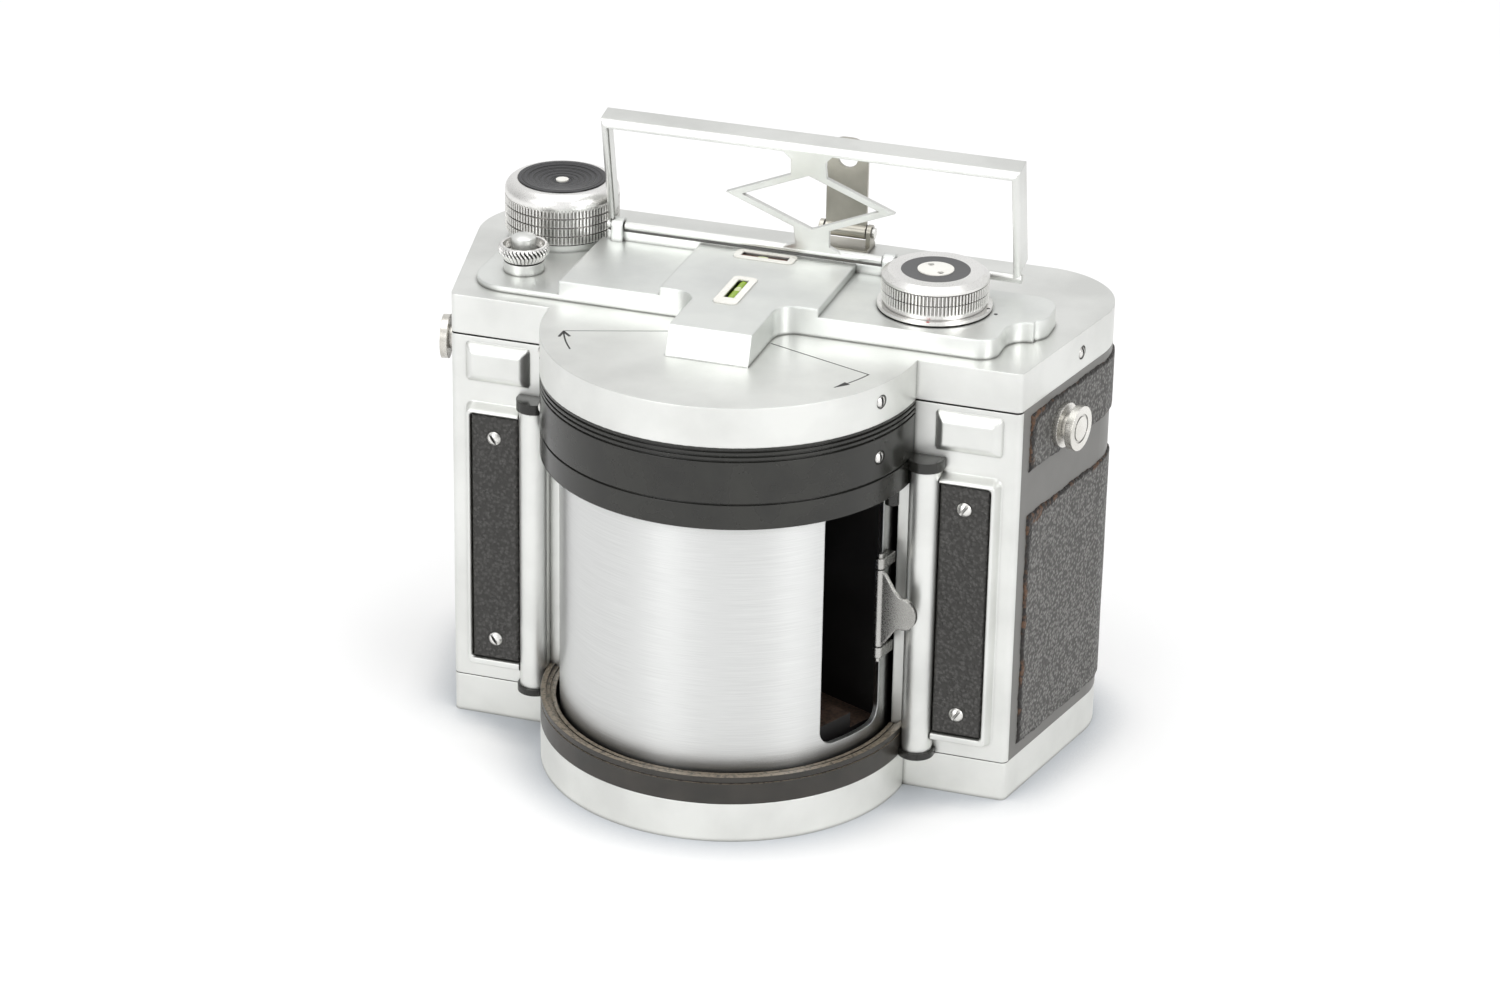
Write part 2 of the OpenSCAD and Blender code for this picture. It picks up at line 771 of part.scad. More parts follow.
// Skin of leather on the plan between two depths and two heights
module skin(y0, y1, z) {
    intersection() {
        difference() {
            plan(z[0], z[1] - z[0], -leather_t);
            plan(z[0] - 1, z[1] - z[0] + 2, 0);
        }
        block([-reach, y0, 0], [reach, y1, reach]);
    }
}

// Room round the hinge of the back, over its whole length
module hinge_room() {
    translate([door_hinge_x, seam_y, base_h]) cylinder(h = body_h, r = knuckle_r + 2 * move_gap);
}

module leather_upper() {
    color("#4a4947") difference() {
        skin(leather_start, leather_end, leather_top);
        hinge_room();
        lug_places() y_rod(-reach, reach, 5.4);
    }
}

module leather_lower() {
    color("#4a4947") difference() {
        skin(leather_start, leather_end, leather_low);
        hinge_room();
    }
}

// Puts a piece that faces -Y on both side walls where the strap lugs are
module lug_places() {
    for (s = [-1, 1])
        translate([s * side_x(lug_y, 0), lug_y, lug_z]) rotate([0, 0, s * (90 - flare)])
            intersection() {
                children();
                block([-reach, -reach, -reach], [reach, wall, reach]);
            }
}

module strap_lugs() {
    color("#d9d8d4") lug_places() {
        y_rod(-1.6, 0, 4.9);
        y_rod(-3.4, -1.6 + eps, 2.6);
        difference() {
            y_rod(-5, -3.4 + eps, 4.9);
            difference() {
                y_rod(-reach, -4.8, 3.2);
                y_rod(-reach, 0, 2.7);
            }
        }
    }
}

module film_gate() {
    gate_t = 1.4;
    edge = 62;
    far = 100;
    color("#1f1f1f") difference() {
        intersection() {
            translate([0, 0, base_floor]) cylinder(h = body_top - top_t - base_floor, r = film_r);
            behind(chamber_front);
        }
        cylinder(h = reach, r = film_r - gate_t);
        translate([0, 0, lens_z - frame_h / 2]) linear_extrude(frame_h)
            polygon([[0, 0], far * [sin(edge), cos(edge)], [0, far], far * [-sin(edge), cos(edge)]]);
    }
}

module spool_studs() {
    top = body_top - top_t;
    color("#b5b4b0") {
        for (s = [-1, 1]) {
            translate([s * spool_x, spool_y, base_floor]) {
                cylinder(h = spool_z0 - move_gap - base_floor, r = stud_r + 1.4);
                cylinder(h = spool_z0 + stud_in - base_floor, r = stud_r);
            }
            translate([s * roller_x, roller_y, base_floor]) {
                cylinder(h = spool_z0 + stud_in - base_floor, r = roller_stud_r);
                cylinder(h = spool_z0 - move_gap - base_floor, r = roller_stud_r + 1);
            }
            translate([s * roller_x, roller_y, spool_z0 + spool_len - stud_in])
                cylinder(h = top - spool_z0 - spool_len + stud_in, r = roller_stud_r);
        }
        translate([spool_x, spool_y, spool_z0 + spool_len - stud_in])
            cylinder(h = top - spool_z0 - spool_len + stud_in, r = stud_r);
    }
}

module release_sleeve() {
    color("#d5d4d0") translate([release_x, release_y, low_plate_z]) difference() {
        cylinder(h = sleeve_h, r = sleeve_r);
        translate([0, 0, -1]) cylinder(h = sleeve_h + 2, r = button_r + run_gap);
    }
}

module finder_rod() {
    color("#bcbbb6") translate([0, hinge_y, hinge_z])
        x_rod(finder_left, ear_places()[1] + ear_w + 3.2, hinge_rod_r);
}

module sight_bracket() {
    half = sight_w / 2;
    out = half + move_gap + sight_ear_t;
    color("#a9a79f") {
        difference() {
            union() {
                block([sight_x - out, sight_y - 4.2, deck_z], [sight_x + out, sight_y + 2.4, deck_z + 1]);
                for (x = [sight_x - out, sight_x + half + move_gap]) {
                    block([x, sight_y - 1.8, deck_z], [x + sight_ear_t, sight_y + 1.8, sight_z]);
                    translate([0, sight_y, sight_z]) x_rod(x, x + sight_ear_t, 1.8);
                }
            }
            translate([0, sight_y, sight_z]) x_rod(-reach, reach, sight_pin_r);
        }
    }
}

module sight_pin() {
    out = sight_w / 2 + move_gap + sight_ear_t;
    color("#c9c7c0") translate([sight_x, sight_y, sight_z]) {
        x_rod(-out - 0.4, out + 0.4, sight_pin_r);
        x_rod(out, out + 0.7, sight_pin_r + 0.5);
    }
}

module hinge_pin() {
    color("#b5b4b0") translate([door_hinge_x, seam_y, knuckle_z[0] - 0.6])
        cylinder(h = knuckle_z[3] - knuckle_z[0] + 1.2, r = hinge_pin_r);
}

module drum() {
    color("#d5d6d8") difference() {
        translate([0, 0, drum_z0]) cylinder(h = drum_z1 - drum_z0, r = drum_r);
        translate([0, 0, drum_z0 + drum_disc_t])
            cylinder(h = drum_z1 - drum_z0 - 2 * drum_disc_t, r = drum_r - drum_wall);
        cylinder(h = reach, r = axle_r);
        bearing(window_angle) {
            translate([0, 0, window_z0]) window_cut();
            block([-5.6, 0, lens_z - frame_h / 2], [5.6, reach, lens_z + frame_h / 2]);
        }
    }
}

// Round-cornered opening through the front of the drum wall
module window_cut() {
    r = window_corner;
    half = window_w / 2;
    block([-half, -reach, r], [half, 0, window_h - r]);
    block([r - half, -reach, 0], [half - r, 0, window_h]);
    for (x = [r - half, half - r])
        for (z = [r, window_h - r])
            translate([x, 0, z]) y_rod(-reach, 0, r);
}

module drum_axles() {
    color("#b9b8b4") {
        translate([0, 0, base_floor + 0.4])
            cylinder(h = drum_z0 + drum_disc_t - base_floor - 0.4, r = axle_r);
        translate([0, 0, drum_z1 - drum_disc_t])
            cylinder(h = body_top + 3 - drum_z1 + drum_disc_t, r = axle_r);
        translate([0, 0, body_top + 0.5]) cylinder(h = 2.5, r = axle_r + 6);
    }
}

module lens_box() {
    z0 = drum_z0 + drum_disc_t;
    z1 = drum_z1 - drum_disc_t;
    roof = window_z0 + window_h + 2;
    color("#141414") bearing(window_angle) {
        for (s = [-1, 1])
            block([min(s * box_half, s * (box_half + box_t)), -box_front, z0],
                [max(s * box_half, s * (box_half + box_t)), box_front, z1]);
        block([-box_half - eps, -box_front, z0], [box_half + eps, box_front, window_z0 - 1]);
        block([-box_half - eps, -box_front, roof], [box_half + eps, box_front, z1]);
        difference() {
            block([-box_half - eps, -6, window_z0 - 2], [box_half + eps, -3, roof + 1]);
            translate([0, 0, lens_z]) y_rod(-reach, reach, barrel_r);
        }
        block([-box_half - eps, -box_front, window_z0 - 2], [box_half * 0.3, 6 - box_front, window_z0 + 2.6]);
        translate([wheel_x, 0, wheel_z]) {
            block([-1.6, -wheel_y + 1.1, -2], [1.6, -wheel_y + 3.6, roof - wheel_z + 1]);
            y_rod(-wheel_y - 0.8, -wheel_y + 1.2, 0.8);
        }
    }
}

module lens_barrel() {
    color("#1b1b1c") bearing(window_angle) translate([0, 0, lens_z]) difference() {
        union() {
            y_rod(-15, 8, barrel_r);
            y_rod(-17, -14, barrel_r + 1.2);
            y_rod(7, 13, barrel_r - 1.2);
        }
        y_rod(-reach, reach, barrel_r - 2.2);
        translate([0, -17.01, 0]) rotate([-90, 0, 0])
            cylinder(h = 3, r1 = barrel_r + 0.4, r2 = barrel_r - 2.2);
    }
}

// Lens cap cut from a ball: radius, bulge radius and the depth of its rim
module lens_disc(r, ball, t) {
    union() {
        y_rod(0, t, r);
        intersection() {
            translate([0, sqrt(ball * ball - r * r), 0]) sphere(r = ball);
            y_rod(-ball, eps, r);
        }
    }
}

module lens_front() {
    color("#5a6a86") bearing(window_angle) translate([0, -12, lens_z]) lens_disc(barrel_r - 2.2, 16, 2.4);
}

module lens_rear() {
    color("#5a6a86") bearing(window_angle) translate([0, 11, lens_z])
        rotate([0, 0, 180]) lens_disc(barrel_r - 2.2, 20, 2);
}

module rear_hood() {
    half_z = frame_h / 2;
    color("#161616") bearing(window_angle) difference() {
        translate([0, 0, lens_z - half_z - 1]) linear_extrude(2 * half_z + 2)
            polygon([[-7.5, drum_r - 2], [7.5, drum_r - 2], [2.8, hood_tip], [-2.8, hood_tip]]);
        translate([0, 0, lens_z - half_z]) linear_extrude(2 * half_z)
            polygon([[-6.3, drum_r - 3], [6.3, drum_r - 3], [1.4, hood_tip + 1], [-1.4, hood_tip + 1]]);
        cylinder(h = reach, r = drum_r);
    }
}

// Fixed hinge of the finger tab: two lugs on the drum and the pin between them
module tab_hinge() {
    lug_h = 2.4;
    lug_reach = 4.6;
    color("#cfcfd1") {
        difference() {
            bearing(tab_angle) for (z = [tab_z0 - move_gap - lug_h, tab_z1 + move_gap]) {
                translate([0, -tab_axis_r, z]) cylinder(h = lug_h, r = 1);
                block([0, -tab_axis_r - 1, z], [lug_reach, 2 - drum_r, z + lug_h]);
            }
            cylinder(h = reach, r = drum_r);
        }
        bearing(tab_angle) translate([0, -tab_axis_r, tab_z0 - move_gap - lug_h - 1])
            cylinder(h = tab_z1 - tab_z0 + 2 * (move_gap + lug_h + 1), r = tab_pin_r);
    }
}

module finger_tab() {
    mid = (tab_z0 + tab_z1) / 2;
    half = (tab_z1 - tab_z0) / 2;
    tab_t = 0.9;
    lobe = 3.7;
    steps = 9;
    color("#d9d9db") bearing(tab_angle) translate([0, -tab_axis_r, mid]) difference() {
        union() {
            translate([0, 0, -half]) cylinder(h = 2 * half, r = 0.95);
            translate([-tab_t / 2, 0, 0]) rotate([90, 0, 90]) linear_extrude(tab_t)
                polygon([for (s = [-1, 1]) for (i = [0 : steps]) let (k = (s < 0 ? i : steps - i) / steps)
                    [-k * (tab_len - lobe), s * (lobe + (half - lobe) * (1 + cos(180 * k)) / 2)]]);
            translate([-tab_t / 2, lobe - tab_len, 0]) x_rod(0, tab_t, lobe);
        }
        translate([0, 0, -half - 1]) cylinder(h = 2 * half + 2, r = tab_pin_r + run_gap);
    }
}

module aperture_wheel() {
    color("#e0e0de") bearing(window_angle) translate([wheel_x, -wheel_y, wheel_z]) difference() {
        translate([0, 0.8, 0]) rotate([90, 0, 0]) ribbed(18, wheel_r, 0.5, 1.2);
        y_rod(-reach, reach, 0.8 + run_gap);
    }
}

module wind_knob() {
    rows = 4;
    knurl_h = 8.2;
    round_r = 2.6;
    row_h = knurl_h / rows;
    color("#d8d7d3") translate([wind_x, wind_y, wind_z]) difference() {
        union() {
            cylinder(h = knurl_h + 0.4, r = wind_r - 0.55);
            for (i = [0 : rows - 1])
                translate([0, 0, 0.2 + i * row_h]) ribbed(wind_ribs, wind_r, 0.4, row_h - 0.35);
            translate([0, 0, knurl_h + 0.2]) cylinder(h = wind_h - round_r - knurl_h - 0.2, r = wind_r);
            cylinder(h = wind_h, r = wind_r - round_r);
            translate([0, 0, wind_h - round_r])
                rotate_extrude() translate([wind_r - round_r, 0]) circle(r = round_r);
        }
        translate([0, 0, wind_h - 1.4]) cylinder(h = 3, r = wind_cap_r());
        translate([0, 0, -1]) cylinder(h = wind_h, r = wind_shaft_r);
    }
}

function wind_cap_r() = wind_r - 2.8;

module wind_cap() {
    dish = 40;
    color("#2a2a2b") translate([wind_x, wind_y, wind_z + wind_h - 1.4]) difference() {
        cylinder(h = 1.7, r = wind_cap_r());
        translate([0, 0, 0.7 + dish]) sphere(r = dish);
        translate([0, 0, -1]) cylinder(h = 3, r = 1.4);
        translate([0, 0, 0.65]) difference() {
            cylinder(h = 3, r = 2.2);
            translate([0, 0, -1]) cylinder(h = 5, r = 1.9);
        }
    }
}

module wind_centre() {
    color("#ecebe6") translate([wind_x, wind_y, wind_z + wind_h - 1.4]) cylinder(h = 1, r = 1.4);
}

module wind_shaft() {
    z0 = spool_z0 + spool_len - 4;
    color("#b5b4b0") translate([wind_x, wind_y, z0]) {
        cylinder(h = wind_z + wind_h - 1.4 - z0, r = wind_shaft_r);
        translate([0, 0, 4 + move_gap]) cylinder(h = 1.2, r = wind_shaft_r + 2);
    }
}

// 120 roll film spool: two flanges on a core, bored at both ends
module spool() {
    flange_t = 1;
    core_r = 5.9;
    difference() {
        union() {
            cylinder(h = spool_len, r = core_r);
            cylinder(h = flange_t, r = spool_flange_r);
            translate([0, 0, spool_len - flange_t]) cylinder(h = flange_t, r = spool_flange_r);
        }
        translate([0, 0, -1]) cylinder(h = stud_in + 1.6, r = stud_r + run_gap);
        translate([0, 0, spool_len - stud_in - 0.6]) cylinder(h = stud_in + 2, r = stud_r + run_gap);
        block([-core_r - 1, -0.7, 10], [core_r + 1, 0.7, spool_len - 10]);
    }
}

module takeup_spool() {
    color("#3c3a38") translate([wind_x, wind_y, spool_z0]) difference() {
        spool();
        translate([0, 0, spool_len - 4]) cylinder(h = 6, r = wind_shaft_r);
    }
}

module supply_spool() {
    color("#3c3a38") translate([spool_x, spool_y, spool_z0]) spool();
}

module film_roller(s) {
    color("#c6c6c4") translate([s * roller_x, roller_y, spool_z0]) difference() {
        union() {
            cylinder(h = spool_len, r = roller_r - 0.5);
            cylinder(h = 3, r = roller_r);
            translate([0, 0, spool_len - 3]) cylinder(h = 3, r = roller_r);
        }
        for (z = [-1, spool_len - stud_in - 0.6])
            translate([0, 0, z]) cylinder(h = stud_in + 1.6, r = roller_stud_r + run_gap);
    }
}

module film_roller_left() {
    film_roller(-1);
}

module film_roller_right() {
    film_roller(1);
}

module release_collar() {
    cup_r = collar_r - 1.1;
    cone_h = 1.3;
    color("#d3d2ce") translate([release_x, release_y, collar_z]) difference() {
        union() {
            cylinder(h = cone_h + 0.4, r1 = sleeve_r, r2 = collar_r - 0.5);
            translate([0, 0, cone_h]) ribbed(40, collar_r, 0.45, collar_h - cone_h - 0.5);
            translate([0, 0, collar_h - 0.6]) cylinder(h = 0.6, r1 = collar_r - 0.2, r2 = collar_r - 0.5);
        }
        translate([0, 0, 1.1]) cylinder(h = collar_h, r = cup_r);
        translate([0, 0, -1]) cylinder(h = collar_h + 2, r = button_r + move_gap);
    }
}

module release_button() {
    z0 = body_top + cover_h - cover_wall - 2;
    color("#e4e3df") translate([release_x, release_y, 0]) {
        translate([0, 0, z0]) cylinder(h = button_top - 0.8 - z0, r = button_r);
        translate([0, 0, z0]) cylinder(h = 1.2, r = button_r + 1.2);
        intersection() {
            translate([0, 0, button_top - 5]) sphere(r = 5);
            translate([0, 0, button_top - 2]) cylinder(h = 2, r = button_r);
        }
    }
}

module speed_knob() {
    foot = 1.1;
    row_h = 2.3;
    color("#d9d8d4") translate([speed_x, speed_y, speed_z + speed_flange_t]) difference() {
        union() {
            cylinder(h = foot + 2 * row_h, r = speed_r - 0.5);
            for (i = [0, 1])
                translate([0, 0, foot + i * row_h]) ribbed(speed_ribs, speed_r, 0.4, row_h - 0.2);
            translate([0, 0, foot + 2 * row_h]) cylinder(h = speed_h - foot - 2 * row_h - 1, r = speed_r);
            translate([0, 0, speed_h - 1]) cylinder(h = 1, r1 = speed_r, r2 = speed_r - 1.3);
        }
        translate([0, 0, speed_h - 0.6]) cylinder(h = 2, r = speed_ring_r());
        translate([0, 0, -1]) cylinder(h = 4, r = speed_shaft_r);
    }
}

// Thin scale disc under the speed knob, with two dimples for its coloured dots
module speed_flange() {
    color("#d9d8d4") translate([speed_x, speed_y, speed_z]) difference() {
        cylinder(h = speed_flange_t, r = speed_r + 0.8);
        translate([0, 0, -1]) cylinder(h = 4, r = speed_shaft_r);
        for (a = [0, -81])
            rotate([0, 0, a]) translate([speed_r + 0.3, 0, speed_flange_t - 0.2]) cylinder(h = 1, r = 0.4);
    }
}

function speed_ring_r() = 7.4;

module speed_ring() {
    color("#6a6a6c") translate([speed_x, speed_y, speed_z + speed_flange_t + speed_h - 0.6]) difference() {
        cylinder(h = 0.6, r = speed_ring_r());
        translate([0, 0, -1]) cylinder(h = 3, r = speed_cap_r());
    }
}

function speed_cap_r() = 3.9;

module speed_cap() {
    hole_r = 0.7;
    color("#eceae6") translate([speed_x, speed_y, speed_z + speed_flange_t + speed_h - 0.6]) difference() {
        cylinder(h = 0.8, r = speed_cap_r());
        for (s = [-1, 1])
            rotate([0, 0, -50]) translate([s * 2.5, 0, 0.2]) cylinder(h = 2, r = hole_r);
    }
}

module speed_shaft() {
    z0 = body_top + 1;
    color("#b5b4b0") translate([speed_x, speed_y, z0]) {
        cylinder(h = speed_z + 3 - z0, r = speed_shaft_r);
        cylinder(h = cover_h - cover_wall - 2, r = speed_shaft_r + 4);
    }
}

// Sheet frame with edges turned back in a round bend: outer size less an inset
module finder_tray(inset) {
    r = 1.5 - inset / 2;
    y0 = finder_face + inset;
    y1 = finder_face + finder_depth + inset;
    x0 = finder_left + inset;
    x1 = finder_right - inset;
    z1 = finder_top - inset;
    intersection() {
        union() {
            block([x0 - 1, y0 + r, hinge_z], [x1 + 1, y1, z1]);
            block([x0 - 1, y0, hinge_z], [x1 + 1, y1, z1 - r]);
            translate([0, y0 + r, z1 - r]) x_rod(x0 - 1, x1 + 1, r);
        }
        union() {
            block([x0 + r, y0, hinge_z], [x1 - r, y1, z1]);
            block([x0, y0 + r, hinge_z], [x1, y1, z1]);
            for (x = [x0 + r, x1 - r])
                translate([x, y0 + r, hinge_z]) cylinder(h = finder_h, r = r);
        }
    }
}

// Diamond outline about the sighting point
module diamond(half_w, half_h) {
    polygon([[-half_w, 0], [0, half_h], [half_w, 0], [0, -half_h]]);
}

// Cut through the sheet from the front, drawn in width and height
module sheet_cut() {
    translate([sight_x, finder_face + 3, diamond_z]) rotate([90, 0, 0]) linear_extrude(6) children();
}

module finder_frame() {
    border = finder_border;
    low = hinge_z + hinge_tube_r * 0.4;
    stem_top = finder_top - diamond_z;
    stem_foot = low - diamond_z;
    slope = diamond_half_h / diamond_half_w;
    color("#e3e2de") lean_finder() difference() {
        union() {
            difference() {
                finder_tray(0);
                finder_tray(finder_t);
                block([finder_left + border, finder_face - 1, low],
                    [finder_right - border, finder_face + finder_t + eps, finder_top - border]);
                block([finder_left - 1, finder_face + finder_t, hinge_z - 1],
                    [finder_right + 1, reach, hinge_z + 1.9]);
            }
            intersection() {
                block([finder_left + 1, finder_face, low],
                    [finder_right - 1, finder_face + finder_t, finder_top - 1]);
                sheet_cut() difference() {
                    union() {
                        diamond(diamond_half_w, diamond_half_h);
                        polygon([[-stem_w, stem_foot], [stem_w, stem_foot], [stem_w * 0.55, stem_foot + 1.6],
                            [stem_w * 0.6, -slope * 8], [-stem_w * 0.6, -slope * 8],
                            [-stem_w * 0.55, stem_foot + 1.6]]);
                        polygon([[-stem_w, stem_top], [stem_w, stem_top], [stem_w * 0.55, stem_top - 3.3],
                            [stem_w * 0.6, slope * 8], [-stem_w * 0.6, slope * 8],
                            [-stem_w * 0.55, stem_top - 3.3]]);
                    }
                    diamond(diamond_half_w - diamond_bar / slope * 1.05, diamond_half_h - diamond_bar * 1.05);
                }
            }
            translate([0, hinge_y, hinge_z]) x_rod(finder_left, finder_right, hinge_tube_r);
        }
        translate([0, hinge_y, hinge_z]) {
            x_rod(finder_left - 1, ear_places()[1] + ear_w + 3.6, hinge_rod_r + run_gap);
            for (x = ear_places())
                x_rod(x - move_gap, x + ear_w + move_gap, ear_r + move_gap);
        }
    }
}

// Leans a piece of the finder forward about its hinge
module lean_finder() {
    translate([0, hinge_y, hinge_z]) rotate([finder_lean, 0, 0])
        translate([0, -hinge_y, -hinge_z]) children();
}

module rear_sight() {
    half = sight_w / 2;
    blade_t = 0.9;
    top_r = 3.9;
    color("#9c9a92") translate([sight_x, sight_y, 0]) difference() {
        union() {
            translate([0, 0, sight_z]) x_rod(-half, half, sight_knuckle_r);
            block([-half, -blade_t / 2, sight_z], [half, blade_t / 2, sight_z + sight_len - top_r]);
            block([top_r - half, -blade_t / 2, sight_z], [half - top_r, blade_t / 2, sight_z + sight_len]);
            for (x = [top_r - half, half - top_r])
                translate([x, 0, sight_z + sight_len - top_r]) y_rod(-blade_t / 2, blade_t / 2, top_r);
        }
        translate([0, 0, sight_z]) x_rod(-half - 1, half + 1, sight_pin_r + run_gap);
        translate([0, 0, sight_hole_z]) y_rod(-5, 5, sight_hole_r);
    }
}

module back_door() {
    slot = [latch_neck[0] / 2 + move_gap, latch_neck[1] / 2 + move_gap];
    color("#6f6e6b") difference() {
        union() {
            intersection() {
                difference() {
                    plan(door_z0, door_z1 - door_z0, 0);
                    plan(door_z0 - 1, door_z1 - door_z0 + 2, wall);
                }
                behind(seam_y + door_gap);
            }
            translate([door_hinge_x, seam_y, knuckle_z[1] + door_gap])
                cylinder(h = knuckle_z[2] - knuckle_z[1] - 2 * door_gap, r = knuckle_r);
            block([door_hinge_x, seam_y + door_gap + 0.15, knuckle_z[1] + door_gap],
                [-seam_x + wall, seam_y + hinge_leaf, knuckle_z[2] - door_gap]);
        }
        for (z = [[base_h, knuckle_z[1] + door_gap - eps], [knuckle_z[2] - door_gap + eps, body_top]])
            translate([door_hinge_x, seam_y, z[0]]) cylinder(h = z[1] - z[0], r = knuckle_r + move_gap);
        translate([door_hinge_x, seam_y, 0]) cylinder(h = reach, r = hinge_pin_r + run_gap);
        block([latch_x - slot[0], rear_y - wall - 1, latch_z - slot[1]],
            [latch_x + slot[0], rear_y + 1, latch_z + slot[1] + latch_travel]);
        translate([pane_x, 0, pane_z]) y_rod(0, reach, pane_r);
    }
}

module door_leather() {
    color("#4a4947") difference() {
        union() {
            skin(seam_y + hinge_leaf + move_gap, reach, leather_low);
            skin(seam_y + hinge_leaf + move_gap, reach, leather_top);
        }
        hinge_room();
        block([latch_x - latch_w / 2 - 0.6, rear_y - 1, latch_z - latch_h / 2 - 0.6],
            [latch_x + latch_w / 2 + 0.6, reach, latch_z + latch_h / 2 + latch_travel + 0.6]);
        translate([pane_x, 0, pane_z]) y_rod(0, reach, pane_r + 2);
    }
}

module red_window() {
    color("#8f1d17") translate([pane_x, 0, pane_z]) y_rod(rear_y - wall, rear_y, pane_r);
}

module window_ring() {
    color("#c9c8c4") translate([pane_x, 0, pane_z]) difference() {
        y_rod(rear_y, rear_y + 1, pane_r + 2);
        y_rod(rear_y - 1, rear_y + 2, pane_r - 0.4);
    }
}

module door_latch() {
    plate_t = 1.6;
    y0 = rear_y + move_gap;
    color("#cfcecb") difference() {
        translate([latch_x, 0, latch_z]) {
            block([-latch_w / 2, y0, -latch_h / 2], [latch_w / 2, y0 + plate_t, latch_h / 2]);
            block([-latch_neck[0] / 2, rear_y - wall - move_gap - eps, -latch_neck[1] / 2],
                [latch_neck[0] / 2, y0 + eps, latch_neck[1] / 2]);
            block([-latch_w / 2, rear_y - wall - move_gap - 0.8, -latch_h / 2],
                [latch_w / 2, rear_y - wall - move_gap, latch_h / 2]);
        }
        for (i = [-3 : 3])
            translate([0, y0 + plate_t, latch_z + i * 1.5]) x_rod(latch_x - latch_w, latch_x + latch_w, 0.4);
    }
}

base_plate();
tripod_bush();
base_screws();
body_shell();
front_panel_left();
front_panel_right();
front_leather();
front_screws();
columns();
column_caps();
lower_ring();
upper_ring();
cover_screws();
top_cover();
deck_casting();
level_bezels();
level_vials();
leather_upper();
leather_lower();
strap_lugs();
film_gate();
spool_studs();
release_sleeve();
finder_rod();
sight_bracket();
sight_pin();
hinge_pin();
drum();
drum_axles();
lens_box();
lens_barrel();
lens_front();
lens_rear();
rear_hood();
tab_hinge();
finger_tab();
aperture_wheel();
wind_knob();
wind_cap();
wind_centre();
wind_shaft();
takeup_spool();
release_collar();
release_button();
speed_knob();
speed_flange();
speed_ring();
speed_cap();
speed_shaft();
finder_frame();
rear_sight();
back_door();
door_leather();
red_window();
window_ring();
door_latch();
supply_spool();
film_roller_left();
film_roller_right();
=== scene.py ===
# %% [markdown]
# # A swing-lens panoramic camera
#
# The camera's solids come from CAD and are loaded as a fixed frame. This script gives them their finishes, makes the
# pieces whose soft or worn forms CAD leaves plain, and sets up the floor, the light and the view. Blender works in
# metres, but sizes here are written in millimetres unless a comment says otherwise. X is to the right, Y goes back
# from the front, and Z is up along the axis of the lens drum.

# %% Load the frame
import math

import bpy
import numpy as np
from mathutils import Matrix


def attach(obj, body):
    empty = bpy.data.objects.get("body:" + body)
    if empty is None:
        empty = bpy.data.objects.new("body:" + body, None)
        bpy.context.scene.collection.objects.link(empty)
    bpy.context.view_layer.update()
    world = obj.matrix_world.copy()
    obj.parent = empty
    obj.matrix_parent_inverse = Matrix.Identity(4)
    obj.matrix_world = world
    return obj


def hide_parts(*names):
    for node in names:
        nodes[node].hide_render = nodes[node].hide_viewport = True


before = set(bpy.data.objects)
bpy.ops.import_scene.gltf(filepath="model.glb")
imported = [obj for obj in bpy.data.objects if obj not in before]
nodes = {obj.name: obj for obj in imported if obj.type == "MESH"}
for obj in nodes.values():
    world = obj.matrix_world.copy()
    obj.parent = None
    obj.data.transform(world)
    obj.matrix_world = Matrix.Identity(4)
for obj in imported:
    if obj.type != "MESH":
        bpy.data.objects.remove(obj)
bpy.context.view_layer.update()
scene = bpy.context.scene
MM = 0.001

# %% [markdown]
# ## Small helpers
#
# Colours are written as web hex values, because those can be read off a colour picker. Blender's shaders work in linear
# light, so one function converts them. Every shader node is added by one more function, which sets the node's options
# and fills or links its sockets, so that a material reads as a short list of what it is made of.

# %% Colours and nodes
def linear(code):
    """Turn a hex sRGB colour into linear RGBA: the low end is a straight line, the rest a power of 2.4."""
    srgb = [int(code[i:i + 2], 16) / 255 for i in (1, 3, 5)]
    return [c / 12.92 if c <= 0.04045 else ((c + 0.055) / 1.055) ** 2.4 for c in srgb] + [1.0]


def add(tree, kind, settings=None, inputs=None, stops=None):
    """Add a node, set its own options, fill each named socket with a value or a link, and place ramp stops."""
    made = tree.nodes.new(kind)
    for key, value in (settings or {}).items():
        setattr(made, key, value)
    for key, value in (inputs or {}).items():
        if isinstance(value, bpy.types.NodeSocket):
            tree.links.new(value, made.inputs[key])
        else:
            made.inputs[key].default_value = value
    if stops:
        ramp = made.color_ramp.elements
        while len(ramp) < len(stops):
            ramp.new(0.5)
        for element, (place, code) in zip(ramp, stops):
            element.position = place
            element.color = linear(code) if isinstance(code, str) else (code, code, code, 1)
    return made


def finish_of(name, **sockets):
    """Start a material: its tree, its surface shader with constant sockets set, and its Object coordinates."""
    made = bpy.data.materials.new(name)
    made.use_nodes = True
    tree = made.node_tree
    tree.nodes.clear()
    values = {key.replace("_", " "): value for key, value in sockets.items()}
    shader = add(tree, "ShaderNodeBsdfPrincipled", inputs=values)
    add(tree, "ShaderNodeOutputMaterial", inputs={"Surface": shader.outputs[0]})
    place = add(tree, "ShaderNodeTexCoord").outputs["Object"]
    return made, tree, shader, place


def feed(tree, shader, **links):
    """Link node outputs to the shader's sockets; an underscore in a name stands for a space."""
    for key, socket in links.items():
        tree.links.new(socket, shader.inputs[key.replace("_", " ")])


def per_mm(size):
    """Texture scale, in repeats per metre, for a feature of this many millimetres."""
    return 1 / (size * MM)


def noise(tree, place, size, detail=3.0):
    """A cloud of soft spots about this many millimetres across, from 0 to 1."""
    return add(tree, "ShaderNodeTexNoise", inputs={"Vector": place, "Scale": per_mm(size), "Detail": detail}).outputs[0]


